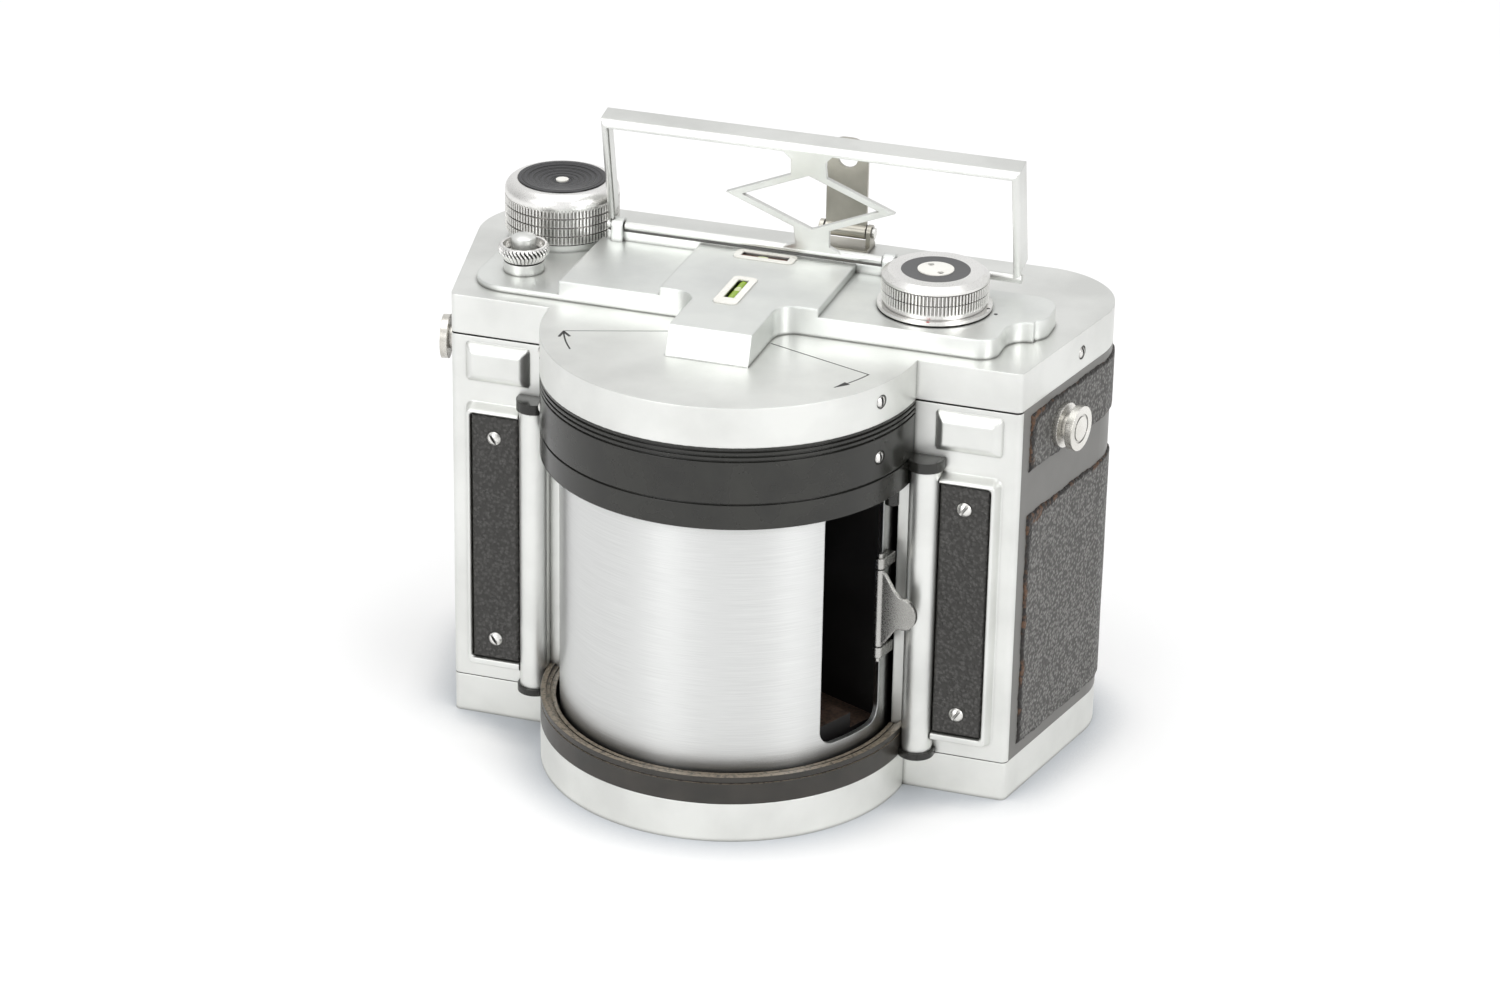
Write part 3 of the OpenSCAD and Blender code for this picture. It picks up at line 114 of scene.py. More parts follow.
def remap(tree, value, low, high, first=0.0, last=1.0):
    """Stretch the span from low to high onto the span from first to last, and hold the ends."""
    return add(tree, "ShaderNodeMapRange", inputs={0: value, 1: low, 2: high, 3: first, 4: last}).outputs[0]


def mixed(tree, share, one, other):
    """Blend two colours: share 0 gives the first and 1 the second."""
    return add(tree, "ShaderNodeMix", {"data_type": "RGBA"}, {0: share, 6: one, 7: other}).outputs[2]


print("mid grey is", round(linear("#808080")[0], 3), "in linear light")

# %% [markdown]
# ## Camera
#
# The view was worked out from the photograph: the round cover and the straight edges of the body fix the direction, the
# distance and the focal length. The camera is rolled about its own axis by about one degree, as the picture is.

# %% Camera
VIEW_AZIMUTH, VIEW_ELEVATION, VIEW_ROLL = (math.radians(a) for a in (17.81, 24.80, 1.05))
VIEW_TARGET = np.array([4.41, 0.0, 61.91]) * MM
VIEW_DISTANCE = 958.3 * MM
back = np.array([math.sin(VIEW_AZIMUTH) * math.cos(VIEW_ELEVATION),
                 -math.cos(VIEW_AZIMUTH) * math.cos(VIEW_ELEVATION), math.sin(VIEW_ELEVATION)])
level_right = np.array([math.cos(VIEW_AZIMUTH), math.sin(VIEW_AZIMUTH), 0.0])
level_up = np.cross(back, level_right)
lens = bpy.data.cameras.new("view")
lens.sensor_fit = "HORIZONTAL"
lens.sensor_width = 36.0
lens.lens = 107.04
lens.clip_end = 20.0
camera = bpy.data.objects.new("view", lens)
scene.collection.objects.link(camera)
pose = np.eye(4)
pose[:3, 0] = math.cos(VIEW_ROLL) * level_right + math.sin(VIEW_ROLL) * level_up
pose[:3, 1] = math.cos(VIEW_ROLL) * level_up - math.sin(VIEW_ROLL) * level_right
pose[:3, 2] = back
pose[:3, 3] = VIEW_TARGET + back * VIEW_DISTANCE
camera.matrix_world = Matrix(pose.tolist())
scene.camera = camera
print("camera at", np.round(pose[:3, 3], 4))

# %% [markdown]
# ## World and lamps
#
# The picture is a bright studio shot on white, as if inside a tent of white cloth. For the camera the sky is plain
# white. In the shiny metal the tent shows as a soft pattern: bright overhead, in front and behind, and darker at the
# two sides. As a light on dull surfaces it is dimmer, so that the lamps can model the forms and the floor keeps a soft
# shadow under the base. A large lamp hangs overhead. Two smaller ones stand low at the front, one to the left and one
# to the right, and each shows on the brushed drum as an upright band of light.

# %% World and lamps
WHITE, ZENITH = (1, 1, 1, 1), (0.85, 0.85, 0.85, 1)
LAMP_AIM, NEARLY_BACK = (0, 0, 0.05), (0.0, 1.0, 0.02)
scene.view_settings.view_transform = "Standard"
world = bpy.data.worlds.new("studio")
world.use_nodes = True
tree = world.node_tree
tree.nodes.clear()
path = add(tree, "ShaderNodeLightPath")
seen = add(tree, "ShaderNodeMath", {"operation": "MAXIMUM"},
           {0: path.outputs["Is Camera Ray"], 1: path.outputs["Is Transmission Ray"]})
toward = add(tree, "ShaderNodeSeparateXYZ", inputs={0: add(tree, "ShaderNodeTexCoord").outputs["Generated"]})
height = remap(tree, toward.outputs["Z"], -1.0, 1.0)
depth = remap(tree, toward.outputs["Y"], -1.0, 1.0)
dull_sky = add(tree, "ShaderNodeValToRGB", inputs={0: height}, stops=[(0.5, 0.42), (0.62, 0.55), (0.95, 0.85)])
around = add(tree, "ShaderNodeValToRGB", inputs={0: depth}, stops=[(0.05, 0.95), (0.42, 0.5), (0.6, 0.6), (0.95, 0.9)])
above = add(tree, "ShaderNodeValToRGB", inputs={0: height}, stops=[(0.5, 0.0), (0.72, 0.35), (0.9, 1.0)])
tent = mixed(tree, above.outputs[0], around.outputs[0], ZENITH)
lit = mixed(tree, path.outputs["Is Glossy Ray"], dull_sky.outputs[0], tent)
sky = mixed(tree, seen.outputs[0], lit, WHITE)
shade = add(tree, "ShaderNodeBackground", inputs={"Color": sky, "Strength": 1.0})
add(tree, "ShaderNodeOutputWorld", inputs={"Surface": shade.outputs[0]})
scene.world = world


def softbox(name, place, aim, size, watts):
    """A square lamp of this size at a place, both in metres, turned so that its axis points at the aim."""
    lamp = bpy.data.lights.new(name, "AREA")
    lamp.size, lamp.energy = size, watts
    box = bpy.data.objects.new(name, lamp)
    scene.collection.objects.link(box)
    facing = np.array(place, float) - np.array(aim, float)
    facing /= np.linalg.norm(facing)
    side = np.cross(NEARLY_BACK, facing)
    side /= np.linalg.norm(side)
    turn = np.eye(4)
    turn[:3, 0], turn[:3, 1], turn[:3, 2], turn[:3, 3] = side, np.cross(facing, side), facing, place
    box.matrix_world = Matrix(turn.tolist())
    return box


softbox("overhead", (0.0, -0.1, 1.3), LAMP_AIM, size=1.2, watts=6.5)
softbox("left", (-0.5, -1.2, 0.6), LAMP_AIM, size=0.7, watts=4.9)
softbox("right", (1.15, -0.61, 0.55), LAMP_AIM, size=0.6, watts=4.8)

# %% [markdown]
# ## Floor
#
# The floor is white paper. Where the base meets it the photo has a pale, bluish shadow that fades within about a
# centimetre. The Ambient Occlusion node finds that closed-in strip. It counts for camera rays only, so the metal still
# mirrors plain paper. Further out the paper fades into pure white for the camera, so that no horizon shows.

# %% Floor
FLOOR_HALF, FADE_START, FADE_END = 6.0, 0.25, 0.7  # metres
CONTACT_MM = 14
floor_mesh = bpy.data.meshes.new("floor")
floor_mesh.from_pydata([(-FLOOR_HALF, -FLOOR_HALF, 0), (FLOOR_HALF, -FLOOR_HALF, 0), (FLOOR_HALF, FLOOR_HALF, 0),
                        (-FLOOR_HALF, FLOOR_HALF, 0)], [], [(0, 1, 2, 3)])
floor = bpy.data.objects.new("floor", floor_mesh)
scene.collection.objects.link(floor)
paper, tree, shader, place = finish_of("white_paper", Roughness=0.9, Specular_IOR_Level=0.1)
open_sky = add(tree, "ShaderNodeAmbientOcclusion", {"samples": 8}, {"Distance": CONTACT_MM * MM}).outputs["AO"]
shaded = mixed(tree, remap(tree, open_sky, 0.5, 0.95), linear("#bcc0c5"), linear("#fefefe"))
looked_at = add(tree, "ShaderNodeLightPath").outputs["Is Camera Ray"]
feed(tree, shader, Base_Color=mixed(tree, looked_at, linear("#f4f4f4"), shaded))
away = add(tree, "ShaderNodeVectorMath", {"operation": "LENGTH"}, {0: place}).outputs["Value"]
faded = add(tree, "ShaderNodeMath", {"operation": "MULTIPLY"},
            {0: looked_at, 1: remap(tree, away, FADE_START, FADE_END)})
backdrop = add(tree, "ShaderNodeEmission", inputs={"Color": WHITE, "Strength": 1.0})
blend = add(tree, "ShaderNodeMixShader", inputs={0: faded.outputs[0], 1: shader.outputs[0], 2: backdrop.outputs[0]})
tree.links.new(blend.outputs[0], tree.nodes["Material Output"].inputs["Surface"])
floor_mesh.materials.append(paper)
print("floor laid at height 0; it fades to white from", FADE_START, "to", FADE_END, "m out")

# %% [markdown]
# ## Metal finishes
#
# Most of the camera is bare aluminium, dulled to a satin by fine blasting, so it looks nearly white under soft light.
# A metal's colour sits in its reflections, so metallic is 1 and the softness is roughness. Two small things make it
# look used rather than new: a slow, faint cloud of two greys and a fine bump. The colour is also darkened in corners
# and crevices, as painted shade with some grime, using the Ambient Occlusion node, which tells how closed-in a point is
# within a millimetre or so. Real edges are never knife sharp either: the Bevel node rounds the normals along them,
# which is what catches a thin line of light.

# %% Satin metals
def bumped(tree, height, strength, distance, edge):
    """A bump of this height over normals that are rounded along edges by this radius, both in millimetres."""
    soft = add(tree, "ShaderNodeBevel", {"samples": 4}, {"Radius": edge * MM})
    return add(tree, "ShaderNodeBump", inputs={"Height": height, "Strength": strength, "Distance": distance * MM,
                                               "Normal": soft.outputs[0]}).outputs[0]


def shaded_and_grimed(tree, colour, reach, shade_and_grime, spread=0.25):
    """Darken a colour towards a painted shade and grime colour where other surfaces crowd in within this many
    millimetres.
    """
    near = add(tree, "ShaderNodeAmbientOcclusion", {"samples": 6}, {"Distance": reach * MM}).outputs["AO"]
    return mixed(tree, remap(tree, near, spread, spread + 0.6), linear(shade_and_grime), colour)


def satin_metal(name, pale, dull, rough, edge=0.35, reach=1.2, shade_and_grime="#55534f", spread=0.25):
    """Blasted metal: clouds between two greys 20 mm across, specks 0.25 mm across, and painted shade with grime in
    corners.
    """
    made, tree, shader, place = finish_of(name, Metallic=1.0)
    tone = add(tree, "ShaderNodeValToRGB", inputs={0: noise(tree, place, 20, 5.0)}, stops=[(0.34, dull), (0.6, pale)])
    speck = noise(tree, place, 0.25, 2.0)
    feed(tree, shader, Base_Color=shaded_and_grimed(tree, tone.outputs[0], reach, shade_and_grime, spread),
         Roughness=remap(tree, speck, 0.3, 0.7, rough - 0.05, rough + 0.06),
         Normal=bumped(tree, speck, 0.1, 0.04, edge))
    return made


# Each metal's last colour is the painted shade, with grime, that its corners are darkened to.
satin_aluminium = satin_metal("satin_aluminium", "#e7e8e5", "#dadbd8", 0.4)
cast_aluminium = satin_metal("cast_aluminium", "#e9ebe8", "#dbdddb", 0.42, edge=0.7)
plated_sheet = satin_metal("plated_sheet", "#e4e5e2", "#d6d7d4", 0.36, edge=0.25, shade_and_grime="#6b6963")
knurled_aluminium = satin_metal("knurled_aluminium", "#f1f0ee", "#e7e6e3", 0.3, edge=0.1, reach=0.8, shade_and_grime="#66635e")
diamond_knurl = satin_metal("diamond_knurl_aluminium", "#eeedeb", "#e2e1de", 0.3, edge=0.04, reach=0.7, shade_and_grime="#33312e",
                            spread=0.36)
turned_steel = satin_metal("turned_steel", "#f1f0ed", "#e0dfdb", 0.3, edge=0.12, reach=0.8, shade_and_grime="#1f1d1c",
                           spread=0.38)
worn_nickel = satin_metal("worn_nickel", "#c9c6bd", "#9c998f", 0.34, edge=0.2)
polished_nickel = satin_metal("polished_nickel", "#e9e7e2", "#cfccc4", 0.28, edge=0.2)
bright_chrome = satin_metal("bright_chrome", "#bdbcb9", "#a8a7a3", 0.27, edge=0.4)
turned_brass = satin_metal("turned_brass", "#c9ad72", "#a98d55", 0.3, edge=0.2)
print("metals:", [m.name for m in bpy.data.materials if m.use_nodes])

# %% [markdown]
# The drum is brushed: it was turned in a lathe against an abrasive, so its fine scratches run round it. Noise squeezed
# in height and stretched around gives those streaks, in the roughness and very faintly in the tone. Light spreads
# across scratches, not along them, so reflections are stretched upright: the tangent runs round the axis, and the
# anisotropy is turned a quarter from it.

# %% Brushed drum
STREAK_MM, STREAK_LONG_MM, QUARTER_TURN = 0.12, 9.0, 0.25
brushed_drum, tree, shader, place = finish_of("brushed_aluminium", Metallic=1.0, Anisotropic=0.8,
                                              Anisotropic_Rotation=QUARTER_TURN)
squeezed = add(tree, "ShaderNodeMapping", {"vector_type": "TEXTURE"},
               {"Vector": place, "Scale": (STREAK_LONG_MM * MM, STREAK_LONG_MM * MM, STREAK_MM * MM)})
streak = add(tree, "ShaderNodeTexNoise", inputs={"Vector": squeezed.outputs[0], "Scale": 1.0, "Detail": 4.0}).outputs[0]
tone = add(tree, "ShaderNodeValToRGB", inputs={0: streak}, stops=[(0.3, "#d2d3d2"), (0.7, "#dfe0df")])
round_z = add(tree, "ShaderNodeTangent", {"direction_type": "RADIAL", "axis": "Z"})
# Within 5 mm of the column and the rings the drum's colour darkens to a grey: painted shade.
feed(tree, shader, Base_Color=shaded_and_grimed(tree, tone.outputs[0], 5.0, "#5d5b58"),
     Roughness=remap(tree, streak, 0.3, 0.7, 0.3, 0.38), Tangent=round_z.outputs[0],
     Normal=bumped(tree, streak, 0.03, 0.02, 0.3))
print("streaks", STREAK_MM, "mm wide and about", STREAK_LONG_MM, "mm long")

# %% [markdown]
# The wind knob's cap is black anodised aluminium that was turned on a lathe. A ring wave about the knob's axis varies
# its roughness, and its tone as a painted sheen of the turned rings. At a scale of 1 that node's rings are two pi over
# twenty units apart, hence the factor.

# %% Turned black cap
WIND_X, WIND_Y, CAP_Z = -52.5, 37.5, 113.5
RING_MM, WAVE_STEP = 1.25, 2 * math.pi / 20
RING_CENTRE = (WIND_X * MM, WIND_Y * MM, CAP_Z * MM)
turned_black, tree, shader, place = finish_of("black_anodised_aluminium", Metallic=0.9, Anisotropic=0.85)
centred = add(tree, "ShaderNodeVectorMath", {"operation": "SUBTRACT"}, {0: place, 1: RING_CENTRE})
rings = add(tree, "ShaderNodeTexWave", {"wave_type": "RINGS", "rings_direction": "Z"},
            {"Vector": centred.outputs[0], "Scale": WAVE_STEP * per_mm(RING_MM), "Distortion": 0.6, "Detail": 1.0})
# The light and dark rings of this tone are painted sheen.
tone = add(tree, "ShaderNodeValToRGB", inputs={0: rings.outputs[1]}, stops=[(0.1, "#2c2c2d"), (0.9, "#525254")])
round_z = add(tree, "ShaderNodeTangent", {"direction_type": "RADIAL", "axis": "Z"})
feed(tree, shader, Base_Color=shaded_and_grimed(tree, tone.outputs[0], 0.6, "#151515"), Tangent=round_z.outputs[0],
     Roughness=remap(tree, rings.outputs[1], 0.0, 1.0, 0.2, 0.34))
print("cap rings", RING_MM, "mm apart")

# %% [markdown]
# ## Paint and enamel
#
# The body under the leather is painted grey, and the rings that hold the drum are black enamel. The lower one forms a
# ledge that has gone brown with dust. Paint is not a metal: a dark colour under a glossy skin. Dust is a lighter brown
# that lies where a surface faces up, so the normal's height mixes it in.

# %% Paint and enamel
def painted(name, dark, light, rough, dust=None, edge=0.3):
    """Sprayed paint with an orange-peel bump 0.8 mm across; dust settles on faces that look up."""
    made, tree, shader, place = finish_of(name, Specular_IOR_Level=0.5)
    cloud = noise(tree, place, 9, 5.0)
    peel = noise(tree, place, 0.8, 2.0)
    colour = add(tree, "ShaderNodeValToRGB", inputs={0: cloud}, stops=[(0.35, dark), (0.7, light)]).outputs[0]
    if dust:
        facing = add(tree, "ShaderNodeSeparateXYZ", inputs={0: add(tree, "ShaderNodeNewGeometry").outputs["Normal"]})
        settled = add(tree, "ShaderNodeMath", {"operation": "MULTIPLY"},
                      {0: remap(tree, facing.outputs["Z"], 0.4, 0.95, 0.0, 0.9), 1: remap(tree, peel, 0.25, 0.55)})
        colour = mixed(tree, settled.outputs[0], colour, linear(dust))
    feed(tree, shader, Base_Color=colour, Roughness=remap(tree, cloud, 0.3, 0.7, rough - 0.06, rough + 0.08),
         Normal=bumped(tree, peel, 0.05, 0.03, edge))
    return made


grey_paint = painted("grey_body_paint", "#63625f", "#71706d", 0.36)
black_enamel = painted("black_enamel", "#1f1f1c", "#292925", 0.24)
ledge_enamel = painted("dusty_black_enamel", "#292723", "#37332e", 0.34, dust="#887d6d")
# This black finish only fills the speed cap's wrench holes, as painted shade.
hole_shade_black = painted("black_lacquer", "#0a0a0a", "#121212", 0.7, edge=0.02)
scale_grey = painted("grey_scale_enamel", "#4b4b4c", "#565657", 0.4, edge=0.1)
dull_black = painted("matt_black_lacquer", "#0b0a0a", "#131110", 0.6, dust="#4d3c31", edge=0.1)
line_black = painted("engraving_black", "#1d1c1b", "#2a2928", 0.5, edge=0.02)
dot_red = painted("red_dot_paint", "#a8231c", "#bb2c22", 0.4, edge=0.02)
spool_lacquer = painted("spool_lacquer", "#23211f", "#2f2c29", 0.5)
pale_enamel = painted("pale_enamel", "#e9e7e0", "#f3f2ec", 0.3, edge=0.15)
red_celluloid = painted("red_celluloid", "#7a120d", "#98180f", 0.15, edge=0.1)
print("paints made; materials so far:", len(bpy.data.materials))

# %% [markdown]
# ## Leather
#
# The covering is thin leather with a pressed pebble grain: rounded bumps about a millimetre across with fine creases
# between them. Voronoi cells give the pebbles, a finer noise breaks them up, and the tops are a little worn and
# shinier. Where the edges of the side patches have frayed, the brown hide shows in spots among black, and elsewhere a
# dark line runs along them; that black and that line are painted shadow of the lifted edge. Those pieces carry their
# distance from the edge as a vertex attribute. Noise takes something off that distance, so that the hide and the line,
# which show where it is small, wander in and out.

# %% Pebbled leather
# This black is painted shadow where the leather's edge lifts.
CURL_SHADOW_BLACK = "#1d1a18"


def ragged(tree, place, edge, size, detail, reach):
    """The distance from the edge less a noise times a reach, all in millimetres."""
    return add(tree, "ShaderNodeMath", {"operation": "MULTIPLY_ADD"},
               {0: noise(tree, place, size, detail), 1: -reach, 2: edge}).outputs[0]


def leather(name, deep, worn, grain, frayed=None):
    """Pebbles of this many millimetres: the distance to each cell's middle is the height, with noise in the creases."""
    made, tree, shader, place = finish_of(name, Specular_IOR_Level=0.45)
    waver = add(tree, "ShaderNodeTexNoise", inputs={"Vector": place, "Scale": per_mm(grain * 0.7), "Detail": 3.0})
    bent = add(tree, "ShaderNodeVectorMath", {"operation": "MULTIPLY_ADD"},
               {0: waver.outputs["Color"], 1: (grain * MM,) * 3, 2: place})
    pebble = add(tree, "ShaderNodeTexVoronoi", {"feature": "SMOOTH_F1"},
                 {"Vector": bent.outputs[0], "Scale": per_mm(grain), "Smoothness": 0.5})
    height = remap(tree, pebble.outputs["Distance"], 0.1, 0.65, 1.0, 0.0)
    colour = add(tree, "ShaderNodeValToRGB", inputs={0: height}, stops=[(0.1, deep), (0.9, worn)]).outputs[0]
    if frayed:
        edge = add(tree, "ShaderNodeAttribute", {"attribute_name": "edge_mm"}).outputs["Fac"]
        hide = add(tree, "ShaderNodeValToRGB", inputs={0: noise(tree, place, 1.5, 4.0)},
                   stops=[(0.44, CURL_SHADOW_BLACK), (0.6, frayed)]).outputs[0]
        line = ragged(tree, place, edge, 9.0, 5.0, reach=2.4)
        tear = ragged(tree, place, edge, 7.0, 6.0, reach=9.0)
        # The dark line along the edges and the black among the torn spots are painted shadow of the lifted edge.
        colour = mixed(tree, remap(tree, line, -0.75, -0.45, 0.9, 0.0), colour, linear(CURL_SHADOW_BLACK))
        colour = mixed(tree, remap(tree, tear, -5.0, -4.4, 0.95, 0.0), colour, hide)
    feed(tree, shader, Base_Color=colour, Roughness=remap(tree, height, 0.0, 1.0, 0.62, 0.4),
         Normal=bumped(tree, height, 0.9, 0.25, 0.25))
    return made


front_leather = leather("pebbled_leather_front", "#343331", "#4c4b49", 0.85)
side_leather = leather("pebbled_leather_side", "#4a4947", "#7f7e7b", 0.8, frayed="#5f4430")
back_leather = leather("pebbled_leather_back", "#4a4947", "#7f7e7b", 0.8)
print("leather grain 0.8 to 0.85 mm")

# %% [markdown]
# ## Glass
#
# The lens is coated glass in a black barrel. The two spirit levels are small sealed vials, one filled green and one
# brown, each with an air bubble.

# %% Glass
BETWEEN_VIALS = (18 * MM, 20 * MM)
coated_glass, tree, shader, place = finish_of("coated_glass", Base_Color=linear("#c9d3e6"), Roughness=0.03, IOR=1.52,
                                              Transmission_Weight=0.85)
feed(tree, shader, Coat_Weight=remap(tree, noise(tree, place, 6), 0.0, 1.0, 0.4, 0.6))
vial_glass, tree, shader, place = finish_of("vial_glass", Roughness=0.08, IOR=1.45)
along = add(tree, "ShaderNodeSeparateXYZ", inputs={0: place})
which = remap(tree, along.outputs["Y"], *BETWEEN_VIALS)
tint = add(tree, "ShaderNodeValToRGB", inputs={0: which}, stops=[(0.0, "#8fae2e"), (1.0, "#6b3d2a")])
feed(tree, shader, Base_Color=tint.outputs[0])
air, tree, shader, place = finish_of("air_bubble", Roughness=0.05, IOR=1.3)
feed(tree, shader, Base_Color=add(tree, "ShaderNodeValToRGB", inputs={0: noise(tree, place, 1.5)},
                                  stops=[(0.3, "#c9d49a"), (0.7, "#e3e8c8")]).outputs[0])
print("glass made; materials so far:", len(bpy.data.materials))

# %% [markdown]
# ## Finishes
#
# Each CAD piece gets one finish. The list of bare pieces that is printed has to be empty.

# %% Finishes of the CAD pieces
FINISH = {
    satin_aluminium: ["base_plate", "columns", "top_cover", "release_sleeve", "release_button", "front_panel_left",
                      "front_panel_right", "window_ring", "door_latch", "film_roller_left", "film_roller_right"],
    cast_aluminium: ["deck_casting"],
    plated_sheet: ["finder_frame"],
    knurled_aluminium: ["wind_knob", "release_collar", "speed_knob", "speed_flange"],
    brushed_drum: ["drum"],
    grey_paint: ["body_shell", "back_door"],
    black_enamel: ["column_caps", "upper_ring"],
    ledge_enamel: ["lower_ring"],
    turned_black: ["wind_cap"],
    scale_grey: ["speed_ring"],
    dull_black: ["film_gate", "lens_box", "lens_barrel", "rear_hood"],
    front_leather: ["front_leather"],
    side_leather: ["leather_upper", "leather_lower"],
    back_leather: ["door_leather"],
    turned_steel: ["base_screws", "front_screws", "cover_screws", "spool_studs", "finder_rod", "sight_pin", "hinge_pin",
                   "drum_axles", "wind_shaft", "speed_shaft", "aperture_wheel"],
    bright_chrome: ["tab_hinge", "finger_tab"],
    worn_nickel: ["sight_bracket", "rear_sight"],
    polished_nickel: ["strap_lugs"],
    coated_glass: ["lens_front", "lens_rear"],
    vial_glass: ["level_vials"],
    pale_enamel: ["level_bezels", "wind_centre", "speed_cap"],
    spool_lacquer: ["takeup_spool", "supply_spool"],
    red_celluloid: ["red_window"],
    turned_brass: ["tripod_bush"],
}
for material, names in FINISH.items():
    for name in names:
        nodes[name].data.materials.clear()
        nodes[name].data.materials.append(material)
bare = set(nodes) - {name for names in FINISH.values() for name in names}
print("finished", len(nodes) - len(bare), "pieces; bare:", sorted(bare))

# %% [markdown]
# ## Surfaces from arrays
#
# The pieces below are made from formulas. A formula fills a whole grid of points at once, and a second array says which
# four points make each face. There are two kinds of closed skin: a slab has a front grid, a back grid and a rim between
# them, and a stack is a pile of closed loops with flat ends, or a pile bent round until its ends meet. The sign of a
# skin's volume tells which way its faces look, so a skin that came out inside out is simply turned.

# %% Skins
def quads_of(index):
    """The four corners of every cell in a grid of point numbers."""
    return np.stack([index[:-1, :-1], index[:-1, 1:], index[1:, 1:], index[1:, :-1]], axis=-1).reshape(-1, 4)


def outward(points, quads, ends=()):
    """Sum the volumes between the origin and each face, split in triangles; if it is negative, turn every face."""
    points = points.reshape(-1, 3)
    fans = [quads[:, (0, 1, 2)], quads[:, (0, 2, 3)]]
    fans += [np.stack([np.full(len(end) - 2, end[0]), end[1:-1], end[2:]], axis=-1) for end in ends]
    a, b, c = (points[np.concatenate(fans)[:, k]] for k in range(3))
    if np.einsum("ij,ij->", a, np.cross(b, c)) < 0:
        quads, ends = quads[:, ::-1], [end[::-1] for end in ends]
    return points, quads, list(ends)


def slab(front, rear):
    """Closed skin of two grids of the same shape, joined by a rim of faces along their four sides."""
    index = np.arange(front[..., 0].size).reshape(front.shape[:2])
    border = np.concatenate([index[0, :-1], index[:-1, -1], index[-1, :0:-1], index[:0:-1, 0]])
    border = np.append(border, border[0])
    rim = quads_of(np.stack([border + index.size, border]))
    return outward(np.concatenate([front.reshape(-1, 3), rear.reshape(-1, 3)]),
                   np.concatenate([quads_of(index), quads_of(index)[:, ::-1] + index.size, rim]))


def stack(loops, joined=False):
    """Closed skin of rows of points: each row is a closed loop, and the ends are flat faces or meet each other."""
    index = np.arange(loops[..., 0].size).reshape(loops.shape[:2])
    ring = np.concatenate([index, index[:, :1]], axis=1)
    if joined:
        return outward(loops, quads_of(np.concatenate([ring, ring[:1]])))
    return outward(loops, quads_of(ring), [index[0, ::-1], index[-1]])


def piece(name, skins, material, body, replaced=None, edge=None, sharp=40):
    """Make one object of several skins, given in millimetres, and let it ride on a body in place of a CAD piece."""
    starts = np.cumsum([0] + [len(points) for points, _, _ in skins])
    faces = sum([(quads + s).tolist() + [(end + s).tolist() for end in ends]
                 for (_, quads, ends), s in zip(skins, starts)], [])
    mesh = bpy.data.meshes.new(name)
    mesh.from_pydata((np.concatenate([points for points, _, _ in skins]) * MM).tolist(), [], faces)
    mesh.polygons.foreach_set("use_smooth", np.ones(len(faces), bool))
    mesh.set_sharp_from_angle(angle=math.radians(sharp))
    if edge is not None:
        mesh.attributes.new("edge_mm", "FLOAT", "POINT").data.foreach_set("value", edge.astype(np.float32))
    mesh.materials.append(material)
    made = bpy.data.objects.new(name, mesh)
    scene.collection.objects.link(made)
    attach(made, body)
    if replaced:
        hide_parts(replaced)
    print(name, len(mesh.vertices), "points; box in mm", np.round([np.array(made.bound_box).min(0) / MM,
                                                                  np.array(made.bound_box).max(0) / MM], 1).tolist())
    return made


def eased(t):
    """Go from 0 to 1 with level ends: three t squared less two t cubed, with t held between 0 and 1."""
    t = np.clip(t, 0, 1)
    return t * t * (3 - 2 * t)


def rolled(t):
    """Quarter circle from 0 to 1, steep at the start and level at the end, like a rolled edge."""
    return np.sqrt(1 - (1 - np.clip(t, 0, 1)) ** 2)


def depth_in(x, z, low, high, radius):
    """How far inside a rectangle with round corners a point lies, in millimetres; negative outside."""
    qx = np.abs(x - (low[0] + high[0]) / 2) - (high[0] - low[0]) / 2 + radius
    qz = np.abs(z - (low[1] + high[1]) / 2) - (high[1] - low[1]) / 2 + radius
    return radius - np.hypot(np.maximum(qx, 0), np.maximum(qz, 0)) - np.minimum(np.maximum(qx, qz), 0)


print("eased halfway is", float(eased(0.5)), "and rolled halfway is", round(float(rolled(0.5)), 3))

# %% [markdown]
# ## Front panels
#
# The two front panels are pressed metal. Each has a soft ridge round a leather strip on three sides, the fourth being
# the round column, and a flat-topped pad with sloping sides above it. The relief is the height in front of the flat
# panel, as a function of the place across and the place up: an eased step at the ridge's outer edge, a step down to the
# recess inside it, and a rounded slope for the pad.

# %% Front panels
FRONT_Y, PANEL_REAR, PANEL_INNER, COLUMN_SIDE, SIDE_X = -1.3, 0.2, 37.9, 47.4, 63.7
PANEL_Z = (9.2, 91.2)
RIDGE_H, RECESS_H, PAD_STEP, PAD_SLOPE = 2.7, 1.2, 0.45, 1.55
RIDGE = ((40.0, 12.35), (60.5, 76.05))
RECESS = ((40.0, 15.05), (58.6, 74.15))
PAD = ((45.6, 81.0), (60.2, 89.9))
FLARE = math.radians(12.4)
CORNER = 1.4
CORNER_X = SIDE_X + (CORNER * math.sin(FLARE) - CORNER) / math.cos(FLARE)


def relief(x, z):
    """Height in front of the flat panel: an eased ridge cut down to the recess, plus a step and slope for the pad."""
    ridge = RIDGE_H * eased(depth_in(x, z, *RIDGE, 1.9) / 1.3)
    ridge = ridge - np.maximum(ridge - RECESS_H, 0) * eased((depth_in(x, z, *RECESS, 0.8) + 0.25) / 0.6)
    inner = depth_in(x, z, *PAD, 0.8)
    slope = np.clip((inner - 0.1) / 2.0, 0, 1)
    pad = PAD_STEP * eased(inner / 0.15) + PAD_SLOPE * (1.5 * slope - 0.5 * slope ** 3)
    return np.where(x < COLUMN_SIDE, 0, ridge) + pad


